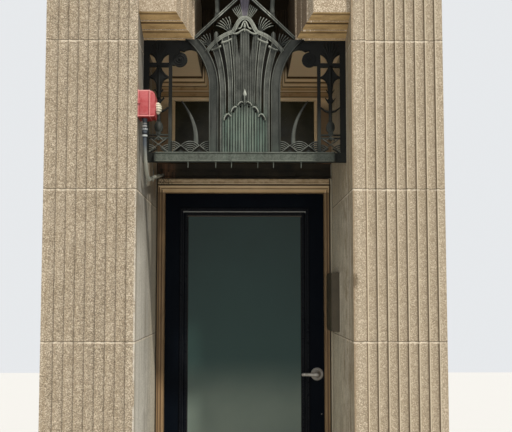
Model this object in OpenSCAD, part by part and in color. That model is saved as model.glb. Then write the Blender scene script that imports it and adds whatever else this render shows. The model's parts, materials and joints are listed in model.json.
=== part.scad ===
// Entrance bay: a hinged glazed door deep in a stone recess, two fluted piers,
// a window over the door and an ornamental metal grille hung in front of it.
// Millimetres. x runs along the wall, y goes into it, z = 0 is the ground.
// The origin lies under the middle of the door frame.

/* [Door frame] */
// Clear width between the stops
clear_w = 1016; // [760:2:1220]
// Clear height over the threshold
clear_h = 2134; // [1980:2:2400]
// Width of the frame's face
frame_face = 52; // [45:1:70]
// Height of the frame's head over the clear opening
head_h = 86; // [70:1:120]
// Depth of the door frame
frame_d = 130; // [110:1:180]
// Step between two fasciae of the frame
fascia_step = 7; // [4:1:10]
// Height of the threshold
threshold_h = 13; // [10:1:20]

/* [Recess] */
// From the faces of the piers back to the door frame
recess_depth = 1100; // [900:10:1400]
// Width of each pier
pier_w = 480; // [380:5:640]
// Width of one flute
flute_w = 50; // [40:0.5:60]
// Flat left between two flutes
arris_w = 2.5; // [2:0.5:6]
// Depth of a flute
flute_depth = 11; // [8:0.5:18]
// Plain margin beside the recess on the left pier
left_margin = 44; // [30:1:90]
// Plain margin beside the recess on the right pier
right_margin = 75; // [30:1:90]

/* [Head of the recess] */
// Clear width of the tall slot between the head stones
slot_w = 558; // [500:2:620]
// Height of the slot over the soffit of the head stones
slot_h = 444; // [380:2:700]
// Height of the stone that closes the slot
lintel_h = 268; // [220:2:400]
// How far the head stones stand back from the piers
head_setback = 30; // [10:1:60]
// Steps of the splayed edge
splay_steps = 3; // [2:1:4]
// Depth of one step of the splayed edge
splay_run = 80; // [60:1:90]
// Inset of one step of the splayed edge
splay_inset = 27; // [18:1:34]
// Rounding on the edge of each step
splay_round = 9; // [4:1:14]

/* [Door] */
// Thickness of the door
leaf_t = 45; // [40:1:54]
// How far the door laps behind its stops
stop_lap = 12; // [10:1:16]
// Gap between the door and its frame
door_gap = 5; // [5:0.5:8]
// Gap on the latch side, where the door's edge swings out a little
latch_gap = 7; // [7:0.5:9]
// Flat of the stiles and top rail that shows past the stops
stile_face = 92; // [80:1:120]
// Width of the moulding around the glass
bead_w = 48; // [30:1:60]
// How far the moulding stands out of the door
bead_proud = 9; // [4:1:14]
// Height of the bottom rail
bottom_rail_h = 250; // [180:5:400]
// Thickness of the door glass
pane_t = 12; // [8:1:20]
// Height of a hinge
hinge_h = 114; // [90:2:140]
// Thickness of a hinge plate
hinge_plate_t = 2.2; // [1.6:0.1:2.3]
// Radius of a hinge pin
hinge_pin_r = 4; // [3:0.25:5]
// From the hinge pin to the outside of its knuckle
knuckle_wall = 3.5; // [2.5:0.25:5]
// Clearance around a hinge pin in the door's knuckle
pin_fit = 0.05; // [0.02:0.01:0.1]

/* [Lever] */
// Height of the lever over the ground
lever_z = 995; // [900:5:1100]
// Diameter of the rose
rose_d = 80; // [60:1:84]
// Thickness of the rose
rose_t = 10; // [6:1:14]
// From the edge of the rose to the door's stop
rose_edge = 6; // [5:0.5:12]
// From the rose centre to the tip of the lever
lever_len = 102; // [90:1:130]
// Thickness of the grip
grip_d = 20; // [16:1:24]
// From the rose to the middle of the grip
grip_out = 46; // [40:1:60]
// Clearance around the lever's spindle
lever_fit = 0.3; // [0.1:0.05:0.5]

/* [Window over the door] */
// How far the window stands behind the face of the door frame
window_back = 60; // [45:1:75]
// Height of the dark rail over the door frame
transom_h = 103; // [80:1:140]
// Height of the window between that rail and its moulded head
window_h = 417; // [340:1:500]
// Height of the moulded head of the window
window_head_h = 153; // [130:1:180]
// Width of the upright at each side of the window
window_stile_w = 103; // [80:1:130]
// Width of the moulded frame inside the slot
slot_frame_w = 78; // [60:1:90]
// Step between two lines of the window's mouldings
window_step = 14; // [8:1:18]
// Thickness of the window glass
window_pane_t = 10; // [6:1:16]

/* [Grille] */
// From the pier faces back to the grille
grille_back = 280; // [270:5:340]
// From the top of the door frame down to the grille's underside
bar_drop = 10; // [0:1:20]
// Height of the bottom bar
bar_h = 53; // [40:1:60]
// From the end of the bottom bar to the reveal
bar_end = 63; // [50:1:80]
// Thickness of the grille's plates
plate_t = 20; // [14:1:26]
// How far the bars and ribs stand in front of the plates
relief = 16; // [10:1:24]
// How far beads and small mouldings stand out further
bead_relief = 5; // [3:0.5:8]
// Width of the reeded shaft in the middle
shaft_w = 118; // [100:1:140]
// Gap between the shaft and the inner rib
shaft_gap = 5; // [3:0.5:8]
// Width of the inner rib
inner_rib_w = 27; // [20:0.5:34]
// Gap between the two ribs
rib_gap = 12.5; // [8:0.5:16]
// Width of the outer rib
outer_rib_w = 33; // [26:0.5:40]
// Gap between the outer rib and the leg
leg_gap = 8; // [5:0.5:12]
// How far the ribs lean outwards at their heads
rib_flare = 66; // [50:1:80]
// Height over which the ribs lean
rib_bend = 306; // [270:2:330]
// Width of a leg
leg_w = 52.5; // [40:0.5:58]
// Radius of the inner edge of a leg's curve
leg_r = 397; // [370:1:440]
// Height of the curved part of a leg
leg_rise = 272; // [250:1:290]
// Radius of the arch between the leg and the scroll's disc
scroll_r = 62; // [50:1:70]
// Thickness of the scroll's arm at the crown of that arch
scroll_w = 52; // [40:1:60]
// Radius of the scroll's disc
hub_r = 41; // [32:1:48]
// Half the width of the hood over the shaft
hood_half = 64; // [56:1:72]
// Height of the hood over its shoulders
hood_h = 82; // [70:1:90]
// Height of the hood's shoulders over the soffit
hood_z = 40; // [34:1:46]
// Thickness of the yoke that carries the hood
yoke_w = 21; // [14:1:24]
// Width of the two sloping rails
rail_w = 17; // [12:1:24]
// Rise of the sloping rails over the slot's half width
rail_rise = 265; // [240:1:290]
// Radius of the waves over the bottom bar
wave_r = 67; // [50:1:72]
// Width of one line of a wave
wave_line = 5.5; // [4:0.5:7]
// Width of the side frame with both its uprights
side_w = 158; // [140:1:180]
// Width of the upright against the reveal
outer_bar_w = 32; // [24:1:40]
// Width of the upright against the open light
inner_bar_w = 18.5; // [14:0.5:24]
// Width of the bars over the sloping rails
upper_bar_w = 24; // [16:1:30]

/* [Alarm box] */
// From the grille's underside up to the middle of the box
alarm_up = 273; // [240:1:320]
// Height and depth of its back box
alarm_side = 140; // [110:1:160]
// How far the back box stands out of the reveal
alarm_out = 62; // [50:1:80]
// How far the horn stands out of the back box
horn_out = 28; // [20:1:50]
// Radius of the lens
lens_r = 31; // [22:1:36]
// Diameter of the conduit
conduit_d = 21; // [16:1:34]
// From the conduit to the reveal
conduit_off = 22; // [14:1:30]
// Radius of the conduit's bend
conduit_bend = 215; // [150:5:240]
// Slope of the conduit's run back to the window
conduit_slope = 9; // [4:1:10]

/* [Box on the right reveal] */
// Height of its underside
reveal_box_z = 1280; // [1100:5:1500]
// Height of the box
reveal_box_h = 349; // [250:1:400]
// Length of the box along the reveal
reveal_box_l = 350; // [250:1:380]
// Thickness of the box
reveal_box_t = 45; // [30:1:60]
// From the box back to the door frame
reveal_box_back = 50; // [30:1:80]

/* [Hidden] */
$fn = 48;

stop_half = clear_w / 2;
half_w = stop_half + frame_face;
outer_x = half_w + pier_w;
frame_y = -frame_d / 2;
back_y = frame_d / 2;
front_y = frame_y - recess_depth;
head_y = front_y + head_setback;
flute_pitch = flute_w + arris_w;

clear_top = threshold_h + clear_h;
frame_top = clear_top + head_h;
transom_top = frame_top + transom_h;
window_head_z = transom_top + window_h;
shoulder_z = window_head_z + window_head_h;
slot_half = slot_w / 2;
slot_top = shoulder_z + slot_h;
bay_h = slot_top + lintel_h;

leaf_half = stop_half + stop_lap;
leaf_back = back_y;
leaf_front = leaf_back - leaf_t;
leaf_bottom = threshold_h + door_gap;
leaf_top = clear_top + stop_lap;
hinge_half = leaf_half + door_gap;
latch_half = leaf_half + latch_gap;
rebate_top = leaf_top + door_gap;
stop_y = leaf_front - door_gap;
stile_w = stile_face + stop_lap;
bead_out = leaf_half - stile_w;
bead_top = leaf_top - stile_w;
bead_bottom = leaf_bottom + bottom_rail_h;
pane_y = (leaf_front + leaf_back - pane_t) / 2;
pane_lap = bead_w * 0.6;
knuckle_r = hinge_pin_r + knuckle_wall;
hinge_x = -(leaf_half + hinge_half) / 2;
hinge_y = leaf_back + knuckle_r + 1.5;
hinge_zs = [leaf_bottom + 2 * hinge_h, (leaf_bottom + leaf_top - hinge_h) / 2, leaf_top - 2 * hinge_h];
lever_x = stop_half - rose_edge - rose_d / 2;
spindle_r = grip_d / 2 - 1;
plate_inset = leaf_t / 5;

window_y = frame_y + window_back;
slot_lip = slot_half - slot_frame_w;

grille_y = front_y + grille_back;
grille_back_y = grille_y + plate_t;
relief_y = grille_y - relief;
bar_z = frame_top - bar_drop;
bar_top = bar_z + bar_h;
shaft_half = shaft_w / 2;
inner_rib = shaft_half + shaft_gap;
outer_rib = inner_rib + inner_rib_w + rib_gap;
leg_in = outer_rib + outer_rib_w + leg_gap;
leg_out = leg_in + leg_w;
leg_spring = shoulder_z - leg_rise;
side_in = half_w - side_w;
side_mid = (side_in + inner_bar_w + half_w - outer_bar_w) / 2;
side_half = (side_w - inner_bar_w - outer_bar_w) / 2;
apex_z = shoulder_z + rail_rise;
rail_angle = atan(rail_rise / slot_half);
alarm_z = bar_z + alarm_up;

stone_face = [0.67, 0.6, 0.5];
tan_paint = [0.5, 0.42, 0.31];
black_paint = [0.04, 0.05, 0.06];
brown_paint = [0.2, 0.15, 0.09];
bronze = [0.33, 0.35, 0.33];
steel = [0.45, 0.45, 0.44];
red_plastic = [0.7, 0.3, 0.28];
glass_tint = [0.2, 0.27, 0.27, 0.45];

// points on an arc in the drawing plane
function arc(cx, cy, r, a0, a1, n) =
  [for (i = [0:n]) [cx + r * cos(a0 + (a1 - a0) * i / n), cy + r * sin(a0 + (a1 - a0) * i / n)]];

// points on a cubic curve
function curve(a, b, c, d, n) =
  [for (i = [0:n]) let (t = i / n, s = 1 - t)
    s * s * s * a + 3 * s * s * t * b + 3 * s * t * t * c + t * t * t * d];

function dir(p, i) = let (a = p[max(i - 1, 0)], b = p[min(i + 1, len(p) - 1)]) (b - a) / norm(b - a);

function side(p, i, w) = p[i] + [-dir(p, i)[1], dir(p, i)[0]] * w / 2;

// outline of a band whose width goes from w0 to w1 along a path
function band(p, w0, w1) =
  let (n = len(p) - 1)
  concat([for (i = [0:n]) side(p, i, w0 + (w1 - w0) * i / n)],
         [for (i = [n:-1:0]) side(p, i, -w0 - (w1 - w0) * i / n)]);

function reversed(p) = [for (i = [len(p) - 1:-1:0]) p[i]];

// a half outline to the right of x = 0, closed with its mirror image
function symmetric(p) = concat(p, [for (q = reversed(p)) if (q[0] > 0.001) [-q[0], q[1]]]);

// stands a drawing up in the plane of the wall, t thick from y0 towards the back
module upright(y0, t) {
  translate([0, y0 + t, 0])
    rotate([90, 0, 0])
      linear_extrude(t)
        children();
}

// lays a profile of [y, z] points along the wall from x0 to x1
module along(x0, x1) {
  translate([x0, 0, 0])
    rotate([90, 0, 90])
      linear_extrude(x1 - x0)
        children();
}

module block(a, b) {
  translate(a)
    cube(b - a);
}

module both_sides() {
  for (m = [0, 1])
    mirror([m, 0])
      children();
}

// Stone

// a pier seen from above; each flute has steep sides and a nearly flat bottom
module pier(margin) {
  count = floor((pier_w - margin - 2 * arris_w) / flute_pitch);
  linear_extrude(bay_h)
    polygon(concat([[half_w, back_y], [half_w, front_y]],
      [for (i = [0:count - 1]) for (k = [-6:6]) let (u = sin(15 * k))
        [half_w + margin + flute_pitch * (i + 0.5) + u * flute_w / 2,
         front_y + flute_depth * (1 - pow(u, 4))]],
      [[outer_x, front_y], [outer_x, back_y]]));
}

module left_pier() {
  color(stone_face)
    mirror([1, 0, 0])
      pier(left_margin);
}

module right_pier() {
  color(stone_face)
    pier(right_margin);
}

// stepped edge as depth and clearance, each step rounded
function splay_edge(e) =
  [for (k = [0:splay_steps]) each arc(k * splay_run + splay_round,
      e + (splay_steps - k) * splay_inset + splay_round, splay_round, 180, 270, 4)];

module splay_plan(grow) {
  translate([0, head_y])
    polygon(concat([for (p = splay_edge(slot_half)) [p[1] - grow, p[0]]],
      [[slot_half - grow, back_y - head_y], [half_w, back_y - head_y], [half_w, 0]]));
}

module splay_side(e, top) {
  polygon(concat([for (p = splay_edge(e)) [head_y + p[0], p[1]]],
    [[back_y, e], [back_y, top], [head_y, top]]));
}

module head_stone() {
  intersection() {
    linear_extrude(bay_h)
      splay_plan(0);
    along(slot_half - 1, half_w)
      splay_side(shoulder_z, bay_h);
  }
}

module left_head_stone() {
  color(stone_face)
    mirror([1, 0, 0])
      head_stone();
}

module right_head_stone() {
  color(stone_face)
    head_stone();
}

module slot_lintel() {
  wide = slot_half + splay_steps * splay_inset + splay_round;
  color(stone_face)
    difference() {
      along(-wide, wide)
        splay_side(slot_top, bay_h);
      translate([0, 0, slot_top - 1])
        linear_extrude(bay_h)
          both_sides()
            splay_plan(0.3);
    }
}

// Door frame

// a jamb seen from above, its outer edge at x = 0 and its stop at x = frame_face
module jamb_section(rebate) {
  third = frame_face / 3;
  polygon([[0, frame_y], [third, frame_y], [third, frame_y + fascia_step],
    [2 * third, frame_y + fascia_step], [2 * third, frame_y + 2 * fascia_step],
    [frame_face, frame_y + 2 * fascia_step], [frame_face, stop_y],
    [half_w - rebate, stop_y], [half_w - rebate, back_y], [0, back_y]]);
}

module frame_left_jamb() {
  color(tan_paint)
    translate([-half_w, 0, 0])
      linear_extrude(clear_top)
        jamb_section(hinge_half);
}

module frame_right_jamb() {
  color(tan_paint)
    difference() {
      mirror([1, 0, 0])
        translate([-half_w, 0, 0])
          linear_extrude(clear_top)
            jamb_section(latch_half);
      strike_body();
    }
}

module frame_head() {
  color(tan_paint)
    along(-half_w, half_w)
      polygon([[frame_y, frame_top], [frame_y, frame_top - head_h * 0.44],
        [frame_y + fascia_step, frame_top - head_h * 0.44],
        [frame_y + fascia_step, frame_top - head_h * 0.72],
        [frame_y + 2 * fascia_step, frame_top - head_h * 0.72],
        [frame_y + 2 * fascia_step, clear_top], [stop_y, clear_top],
        [stop_y, rebate_top], [back_y, rebate_top], [back_y, frame_top]]);
}

module threshold() {
  color(steel)
    along(-stop_half, stop_half)
      polygon([[frame_y, 0], [frame_y, threshold_h / 4], [frame_y + 2 * threshold_h, threshold_h],
        [back_y, threshold_h], [back_y, 0]]);
}

module strike_body() {
  translate([latch_half, leaf_front + plate_inset, lever_z - hinge_h / 2])
    cube([2, leaf_t - 2 * plate_inset, hinge_h]);
}

module strike_plate() {
  color(steel)
    strike_body();
}

// Hinges

module knuckle(z, h) {
  translate([hinge_x, hinge_y, z])
    cylinder(h = h, r = knuckle_r);
}

module pin_bore(z, fit) {
  translate([hinge_x, hinge_y, z - 1])
    cylinder(h = hinge_h + 2, r = hinge_pin_r + fit);
}

module hinge_frame_side() {
  third = hinge_h / 3;
  color(steel)
    for (z = hinge_zs)
      difference() {
        union() {
          block([-hinge_half, leaf_front + plate_inset, z],
            [-hinge_half + hinge_plate_t, leaf_back, z + hinge_h]);
          for (k = [0, 2]) {
            block([-hinge_half, leaf_back, z + k * third],
              [-hinge_half + hinge_plate_t, hinge_y, z + (k + 1) * third]);
            knuckle(z + k * third, third);
          }
        }
        pin_bore(z, 0.02);
      }
}

module hinge_door_side() {
  third = hinge_h / 3;
  color(steel)
    for (z = hinge_zs)
      difference() {
        union() {
          block([-leaf_half - hinge_plate_t, leaf_front + plate_inset, z],
            [-leaf_half, leaf_back, z + hinge_h]);
          block([-leaf_half - hinge_plate_t, leaf_back, z + third + 0.5],
            [-leaf_half, hinge_y, z + 2 * third - 0.5]);
          knuckle(z + third + 0.5, third - 1);
        }
        pin_bore(z, pin_fit);
      }
}

module hinge_pins() {
  color(steel)
    for (z = hinge_zs)
      translate([hinge_x, hinge_y, z]) {
        cylinder(h = hinge_h, r = hinge_pin_r);
        translate([0, 0, hinge_h])
          cylinder(h = knuckle_wall, r = knuckle_r);
      }
}

// Door

module hinge_stile() {
  color(black_paint)
    block([-leaf_half, leaf_front, leaf_bottom], [-bead_out, leaf_back, leaf_top]);
}

module latch_stile() {
  color(black_paint)
    difference() {
      block([bead_out, leaf_front, leaf_bottom], [leaf_half, leaf_back, leaf_top]);
      latch_plate_body();
      translate([lever_x, leaf_front - 1, lever_z])
        rotate([-90, 0, 0])
          cylinder(h = leaf_t + 2, r = spindle_r + lever_fit);
    }
}

module top_rail() {
  color(black_paint)
    block([-bead_out, leaf_front, bead_top], [bead_out, leaf_back, leaf_top]);
}

module bottom_rail() {
  color(black_paint)
    block([-bead_out, leaf_front, leaf_bottom], [bead_out, leaf_back, bead_bottom]);
}

// a moulded ring around the glass, its section as [distance from the outer edge, y] points
module ring_of(section) {
  for (a = [0, 1])
    mirror([a, 0, 0]) {
      intersection() {
        translate([bead_out, 0, bead_bottom])
          linear_extrude(bead_top - bead_bottom)
            mirror([1, 0])
              polygon(section);
        upright(-recess_depth, 2 * recess_depth)
          polygon([[bead_out, bead_bottom], [bead_out, bead_top], [bead_out - bead_w, bead_top - bead_w],
            [bead_out - bead_w, bead_bottom + bead_w]]);
      }
    }
  for (top = [0, 1])
    translate([0, 0, top * (bead_top + bead_bottom)])
      mirror([0, 0, top])
        intersection() {
          translate([-bead_out, 0, bead_bottom])
            rotate([90, 0, 90])
              linear_extrude(2 * bead_out)
                polygon([for (p = section) [p[1], p[0]]]);
          upright(-recess_depth, 2 * recess_depth)
            polygon([[-bead_out, bead_bottom], [bead_out, bead_bottom],
              [bead_out - bead_w, bead_bottom + bead_w], [bead_w - bead_out, bead_bottom + bead_w]]);
        }
}

module outside_glass_moulding() {
  face = leaf_front - bead_proud;
  color(black_paint)
    ring_of(concat([[0, pane_y], [0, face + 2]], arc(3, face + 3, 3, 200, 270, 3),
      [[bead_w * 0.2, face]],
      curve([bead_w * 0.2, face + 4], [bead_w * 0.5, face + 3], [bead_w * 0.6, pane_y - 9],
        [bead_w * 0.86, pane_y - 9], 6),
      [[bead_w * 0.86, pane_y - 5], [bead_w, pane_y - 5], [bead_w, pane_y]]));
}

module inside_glass_bead() {
  face = pane_y + pane_t;
  color(black_paint)
    ring_of([[0, face], [bead_w * 0.8, face], [bead_w * 0.8, face + 6], [bead_w * 0.3, leaf_back],
      [0, leaf_back]]);
}

module door_glass() {
  edge = bead_out - bead_w + pane_lap;
  color(glass_tint)
    upright(pane_y, pane_t)
      translate([-edge, bead_bottom + bead_w - pane_lap])
        square([2 * edge, bead_top - bead_bottom - 2 * bead_w + 2 * pane_lap]);
}

module latch_plate_body() {
  translate([leaf_half - 2, leaf_front + plate_inset, lever_z - hinge_h * 0.8])
    cube([2, leaf_t - 2 * plate_inset, hinge_h * 1.6]);
}

module latch_face_plate() {
  color(steel)
    latch_plate_body();
}

module rose(y0) {
  translate([lever_x, y0, lever_z])
    rotate([90, 0, 0])
      difference() {
        union() {
          cylinder(h = rose_t * 0.7, r = rose_d / 2);
          cylinder(h = rose_t, r = rose_d * 0.43);
        }
        translate([0, 0, -1])
          cylinder(h = rose_t + 2, r = spindle_r + lever_fit);
      }
}

module outside_rose() {
  color(steel)
    rose(leaf_front);
}

module inside_rose() {
  color(steel)
    translate([0, leaf_front + leaf_back, 0])
      mirror([0, 1, 0])
        rose(leaf_front);
}

module lever_handle() {
  reach = rose_t + grip_out;
  color(steel)
    union() {
      translate([lever_x, leaf_front - reach, lever_z])
        rotate([-90, 0, 0])
          cylinder(h = leaf_t + 2 * reach, r = spindle_r);
      for (y = [leaf_front - reach, leaf_back + reach])
        translate([lever_x, y, lever_z]) {
          rotate([0, -90, 0])
            cylinder(h = lever_len - grip_d / 2, r = grip_d / 2);
          sphere(grip_d / 2);
          translate([grip_d / 2 - lever_len, 0, 0])
            sphere(grip_d / 2);
        }
    }
}

// Window over the door

module transom_rail() {
  step = transom_h * 0.47;
  face = window_y - 2 * window_step;
  color(brown_paint)
    along(-half_w, half_w)
      polygon([[face, frame_top], [face, frame_top + step], [face + window_step, frame_top + step],
        [face + window_step, transom_top], [back_y, transom_top], [back_y, frame_top]]);
}

module window_stile() {
  color(brown_paint)
    union() {
      block([half_w - window_stile_w, window_y, transom_top], [half_w, back_y, window_head_z]);
      block([half_w - window_stile_w * 0.6, window_y - window_step, transom_top],
        [half_w, window_y, window_head_z]);
    }
}

module window_left_stile() {
  mirror([1, 0, 0])
    window_stile();
}

module window_right_stile() {
  window_stile();
}

// one layer of the moulded head that turns up along the slot, s of its width left out
module moulding_layer(s) {
  polygon([[slot_lip + s * slot_frame_w, window_head_z + s * window_head_h],
    [half_w, window_head_z + s * window_head_h], [half_w, shoulder_z],
    [slot_half, shoulder_z], [slot_half, slot_top], [slot_lip + s * slot_frame_w, slot_top]]);
}

module window_moulding() {
  color(tan_paint)
    union() {
      upright(window_y, back_y - window_y)
        moulding_layer(0);
      upright(window_y - window_step * 0.5, window_step * 0.5)
        moulding_layer(0.12);
      upright(window_y - window_step, window_step * 0.5)
        moulding_layer(0.17);
      upright(window_y - window_step * 1.5, window_step * 0.5)
        moulding_layer(0.55);
      upright(window_y - window_step * 2, window_step * 0.5)
        moulding_layer(0.86);
    }
}

module window_left_moulding() {
  mirror([1, 0, 0])
    window_moulding();
}

module window_right_moulding() {
  window_moulding();
}

module slot_frame_head() {
  color(brown_paint)
    block([-slot_lip, window_y, slot_top - slot_frame_w], [slot_lip, back_y, slot_top]);
}

module window_glass() {
  wide = half_w - window_stile_w;
  color(glass_tint)
    upright((window_y + back_y - window_pane_t) / 2, window_pane_t)
      polygon([[-wide, transom_top], [wide, transom_top], [wide, window_head_z], [slot_lip, window_head_z],
        [slot_lip, slot_top - slot_frame_w], [-slot_lip, slot_top - slot_frame_w],
        [-slot_lip, window_head_z], [-wide, window_head_z]]);
}

// Grille

module grille_bottom_bar() {
  edge = bar_h * 0.08;
  face = relief_y - 2 * bead_relief;
  color(bronze)
    along(bar_end - half_w, half_w - bar_end)
      polygon([[face + edge, bar_z], [face, bar_z + edge], [face, bar_top - 2 * edge],
        [face - edge, bar_top - 1.5 * edge], [face - edge, bar_top], [grille_back_y, bar_top],
        [grille_back_y, bar_z]]);
}

// edge of the leg's curve, w out from its inner edge, from the spring up to the soffit
function leg_edge(w) = [for (p = arc(0, leg_spring, leg_r - w, 0, asin(leg_rise / (leg_r - w)), 16))
  [leg_in + leg_r - p[0], p[1]]];

module leg_outline(w0, w1) {
  polygon(concat([[leg_in + w0, bar_top]], leg_edge(w0), reversed(leg_edge(w1)), [[leg_in + w1, bar_top]]));
}

// the scroll: an arm under the soffit, arched below, that ends in a disc against the side frame;
// the arch runs on as a crescent over the half of the disc next to the leg
module scroll_outline() {
  hub_x = side_in - hub_r * 1.04;
  arch_z = shoulder_z - scroll_w - scroll_r;
  difference() {
    union() {
      difference() {
        translate([leg_in, arch_z])
          square([side_in - leg_in, scroll_r + scroll_w]);
        translate([hub_x - scroll_r * 0.93, arch_z])
          circle(scroll_r);
        intersection() {
          translate([hub_x, arch_z + scroll_r * 0.1])
            circle(hub_r * 1.2);
          translate([hub_x - scroll_r, arch_z])
            square(scroll_r);
        }
      }
      translate([hub_x, arch_z + scroll_r * 0.1])
        circle(hub_r);
      translate([hub_x, arch_z + scroll_r * 0.1 - hub_r * 0.8])
        square([side_in - hub_x, hub_r]);
    }
    polygon(concat([[0, bar_top], [leg_in, bar_top]], leg_edge(0), [[0, shoulder_z]]));
  }
}

module grille_leg() {
  color(bronze)
    union() {
      upright(relief_y, relief + plate_t)
        leg_outline(0, leg_w);
      upright(relief_y - bead_relief, bead_relief)
        leg_outline(0, leg_w * 0.14);
      upright(relief_y - bead_relief, bead_relief)
        leg_outline(leg_w * 0.86, leg_w);
      upright(grille_y, plate_t)
        scroll_outline();
    }
}

module grille_left_leg() {
  mirror([1, 0, 0])
    grille_leg();
}

module grille_right_leg() {
  grille_leg();
}

// edge of a rib that stands plumb at x, leans out by a share f of the flare at the soffit and
// ends a share e of the shoulders' height over it
function flare(x, f, e) = [for (i = [0:10]) let (t = i / 10 * (1 + e * hood_z / rib_bend))
  [x + f * rib_flare * t * t, shoulder_z + rib_bend * (t - 1)]];

// a rib between two leaning edges
module rib_outline(x0, f0, e0, x1, f1, e1) {
  polygon(concat([[x0, bar_top]], flare(x0, f0, e0), reversed(flare(x1, f1, e1)), [[x1, bar_top]]));
}

// the line that one half of the yoke follows, up the arm and over the hood
function yoke_line() = concat(
  curve([leg_in * 1.46, shoulder_z - hood_z * 1.75], [leg_in * 1.2, shoulder_z - hood_z * 0.4],
    [leg_in * 0.9, shoulder_z + hood_z * 0.55], [hood_half * 1.12, shoulder_z + hood_z], 8),
  curve([hood_half * 0.98, shoulder_z + hood_z * 1.2], [hood_half * 0.66, shoulder_z + hood_z * 2.1],
    [hood_half * 0.5, shoulder_z + hood_z + hood_h], [0, shoulder_z + hood_z + hood_h], 9));

module yoke_outline(w) {
  both_sides()
    polygon(band(yoke_line(), w, w * 1.15));
  translate([-1, shoulder_z + hood_z + hood_h - w * 0.575])
    square([2, w * 1.15]);
}

// head of the shaft and inner ribs, under the hood
function shaft_top() = [[hood_half * 1.2, shoulder_z + hood_z * 0.96],
  [hood_half * 0.75, shoulder_z + hood_z * 0.85], [hood_half * 0.32, shoulder_z + hood_z * 1.26],
  [0, shoulder_z + hood_z * 1.5]];

module shaft_outline() {
  right = concat([[shaft_half, bar_top]], flare(shaft_half, 0.3, 0), shaft_top());
  difference() {
    polygon(symmetric(right));
    both_sides()
      polygon([[hood_half * 0.75, shoulder_z + hood_z * 0.65], [hood_half * 0.4, shoulder_z + hood_z * 0.85],
        [hood_half * 0.45, shoulder_z - hood_z * 2.7]]);
    yoke_outline(yoke_w);
  }
}

// reeds seen from above, n of them between -w and w, standing h out of face
module reed_plan(w, n, face, h) {
  pitch = 2 * w / n;
  polygon(concat([[-w, grille_back_y]],
    [for (i = [0:n - 1]) for (k = [0:5])
      [-w + pitch * (i + 0.5) - pitch * 0.5 * cos(36 * k), face - h * sin(36 * k)]],
    [[w, grille_back_y]]));
}

module grille_shaft() {
  wide = shaft_half + rib_flare * 0.45;
  count = 2 * round(wide / (shaft_w * 0.105));
  color(bronze)
    difference() {
      intersection() {
        linear_extrude(bay_h)
          reed_plan(wide, count, relief_y, bead_relief);
        upright(relief_y - 2 * relief, 3 * relief + plate_t)
          shaft_outline();
      }
      upright(relief_y - 3 * relief, 4 * relief + plate_t)
        plate_outline();
    }
}

// arched tops of the reeded plate, three to a side, as shares of its half width and height
plate_half = outer_rib + outer_rib_w / 2;
plate_h = leg_spring - bar_top - 1.4 * bar_h;
plate_steps = [[0, 0.31, 1], [0.31, 0.645, 0.9], [0.645, 1, 0.765]];

// an arched top that falls towards the outside, w in from both ends and d down
function arch_top(s, w, d) =
  let (x0 = s[0] * plate_half + w, x1 = s[1] * plate_half - w, l = x1 - x0,
    top = bar_top + s[2] * plate_h - d)
  curve([x0, top - l * 0.16], [x0 + l * 0.2, top + l * 0.06], [x0 + l * 0.66, top + l * 0.12],
    [x1, top - l * 0.45], 8);

module plate_outline() {
  polygon(symmetric(concat([[plate_half, bar_top]], reversed(arch_top(plate_steps[2], 0, 0)),
    reversed(arch_top(plate_steps[1], 0, 0)), reversed(arch_top(plate_steps[0], 0, 0)))));
}

module grille_reeded_plate() {
  lip = plate_half * 0.06;
  color(bronze)
    union() {
      intersection() {
        linear_extrude(bay_h)
          reed_plan(plate_half * 1.05, 17, relief_y - bead_relief, bead_relief);
        upright(relief_y - 3 * bead_relief, relief + plate_t + 3 * bead_relief)
          difference() {
            plate_outline();
            both_sides()
              for (s = plate_steps)
                translate([plate_half * (s[0] * 0.4 + s[1] * 0.6), bar_top + s[2] * plate_h - 4.4 * lip])
                  square([lip * 1.4, lip * 1.6], center = true);
          }
      }
      upright(relief_y - 3 * bead_relief, 3.3 * bead_relief)
        both_sides()
          for (s = plate_steps)
            polygon(band(arch_top(s, lip, lip), lip, lip));
      upright(relief_y - 3.4 * bead_relief, 2.2 * bead_relief)
        lance_outline();
    }
}

// the pointed finial that stands over the reeded plate
module lance_outline() {
  w = outer_rib * 0.11;
  z0 = bar_top + plate_h - w;
  polygon(symmetric([[w * 0.37, z0 - w], [w * 0.37, z0 + w * 3], [w, z0 + w * 4.6], [0, z0 + w * 7]]));
}

module grille_ribs() {
  outer0 = outer_rib;
  outer1 = outer_rib + outer_rib_w;
  inner0 = inner_rib;
  inner1 = inner_rib + inner_rib_w;
  line = inner_rib_w * 0.22;
  color(bronze)
    difference() {
      union() {
        upright(relief_y, relief + plate_t) {
          rib_outline(outer0, 0.79, -0.2, outer1, 1, -1.4);
          rib_outline(inner0, 0.3, 0.9, inner1, 0.6, 0.3);
        }
        upright(relief_y - bead_relief, bead_relief) {
          rib_outline(outer0, 0.79, -0.2, outer0 + line, 0.83, -0.4);
          rib_outline(outer1 - line, 0.96, -1.2, outer1, 1, -1.4);
          rib_outline(inner0, 0.3, 0.9, inner0 + line, 0.36, 0.8);
          rib_outline(inner1 - line, 0.54, 0.42, inner1, 0.6, 0.3);
        }
      }
      upright(relief_y - 3 * relief, 4 * relief + plate_t) {
        plate_outline();
        yoke_outline(yoke_w);
      }
    }
}

module grille_left_ribs() {
  mirror([1, 0, 0])
    grille_ribs();
}

module grille_right_ribs() {
  grille_ribs();
}

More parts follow.
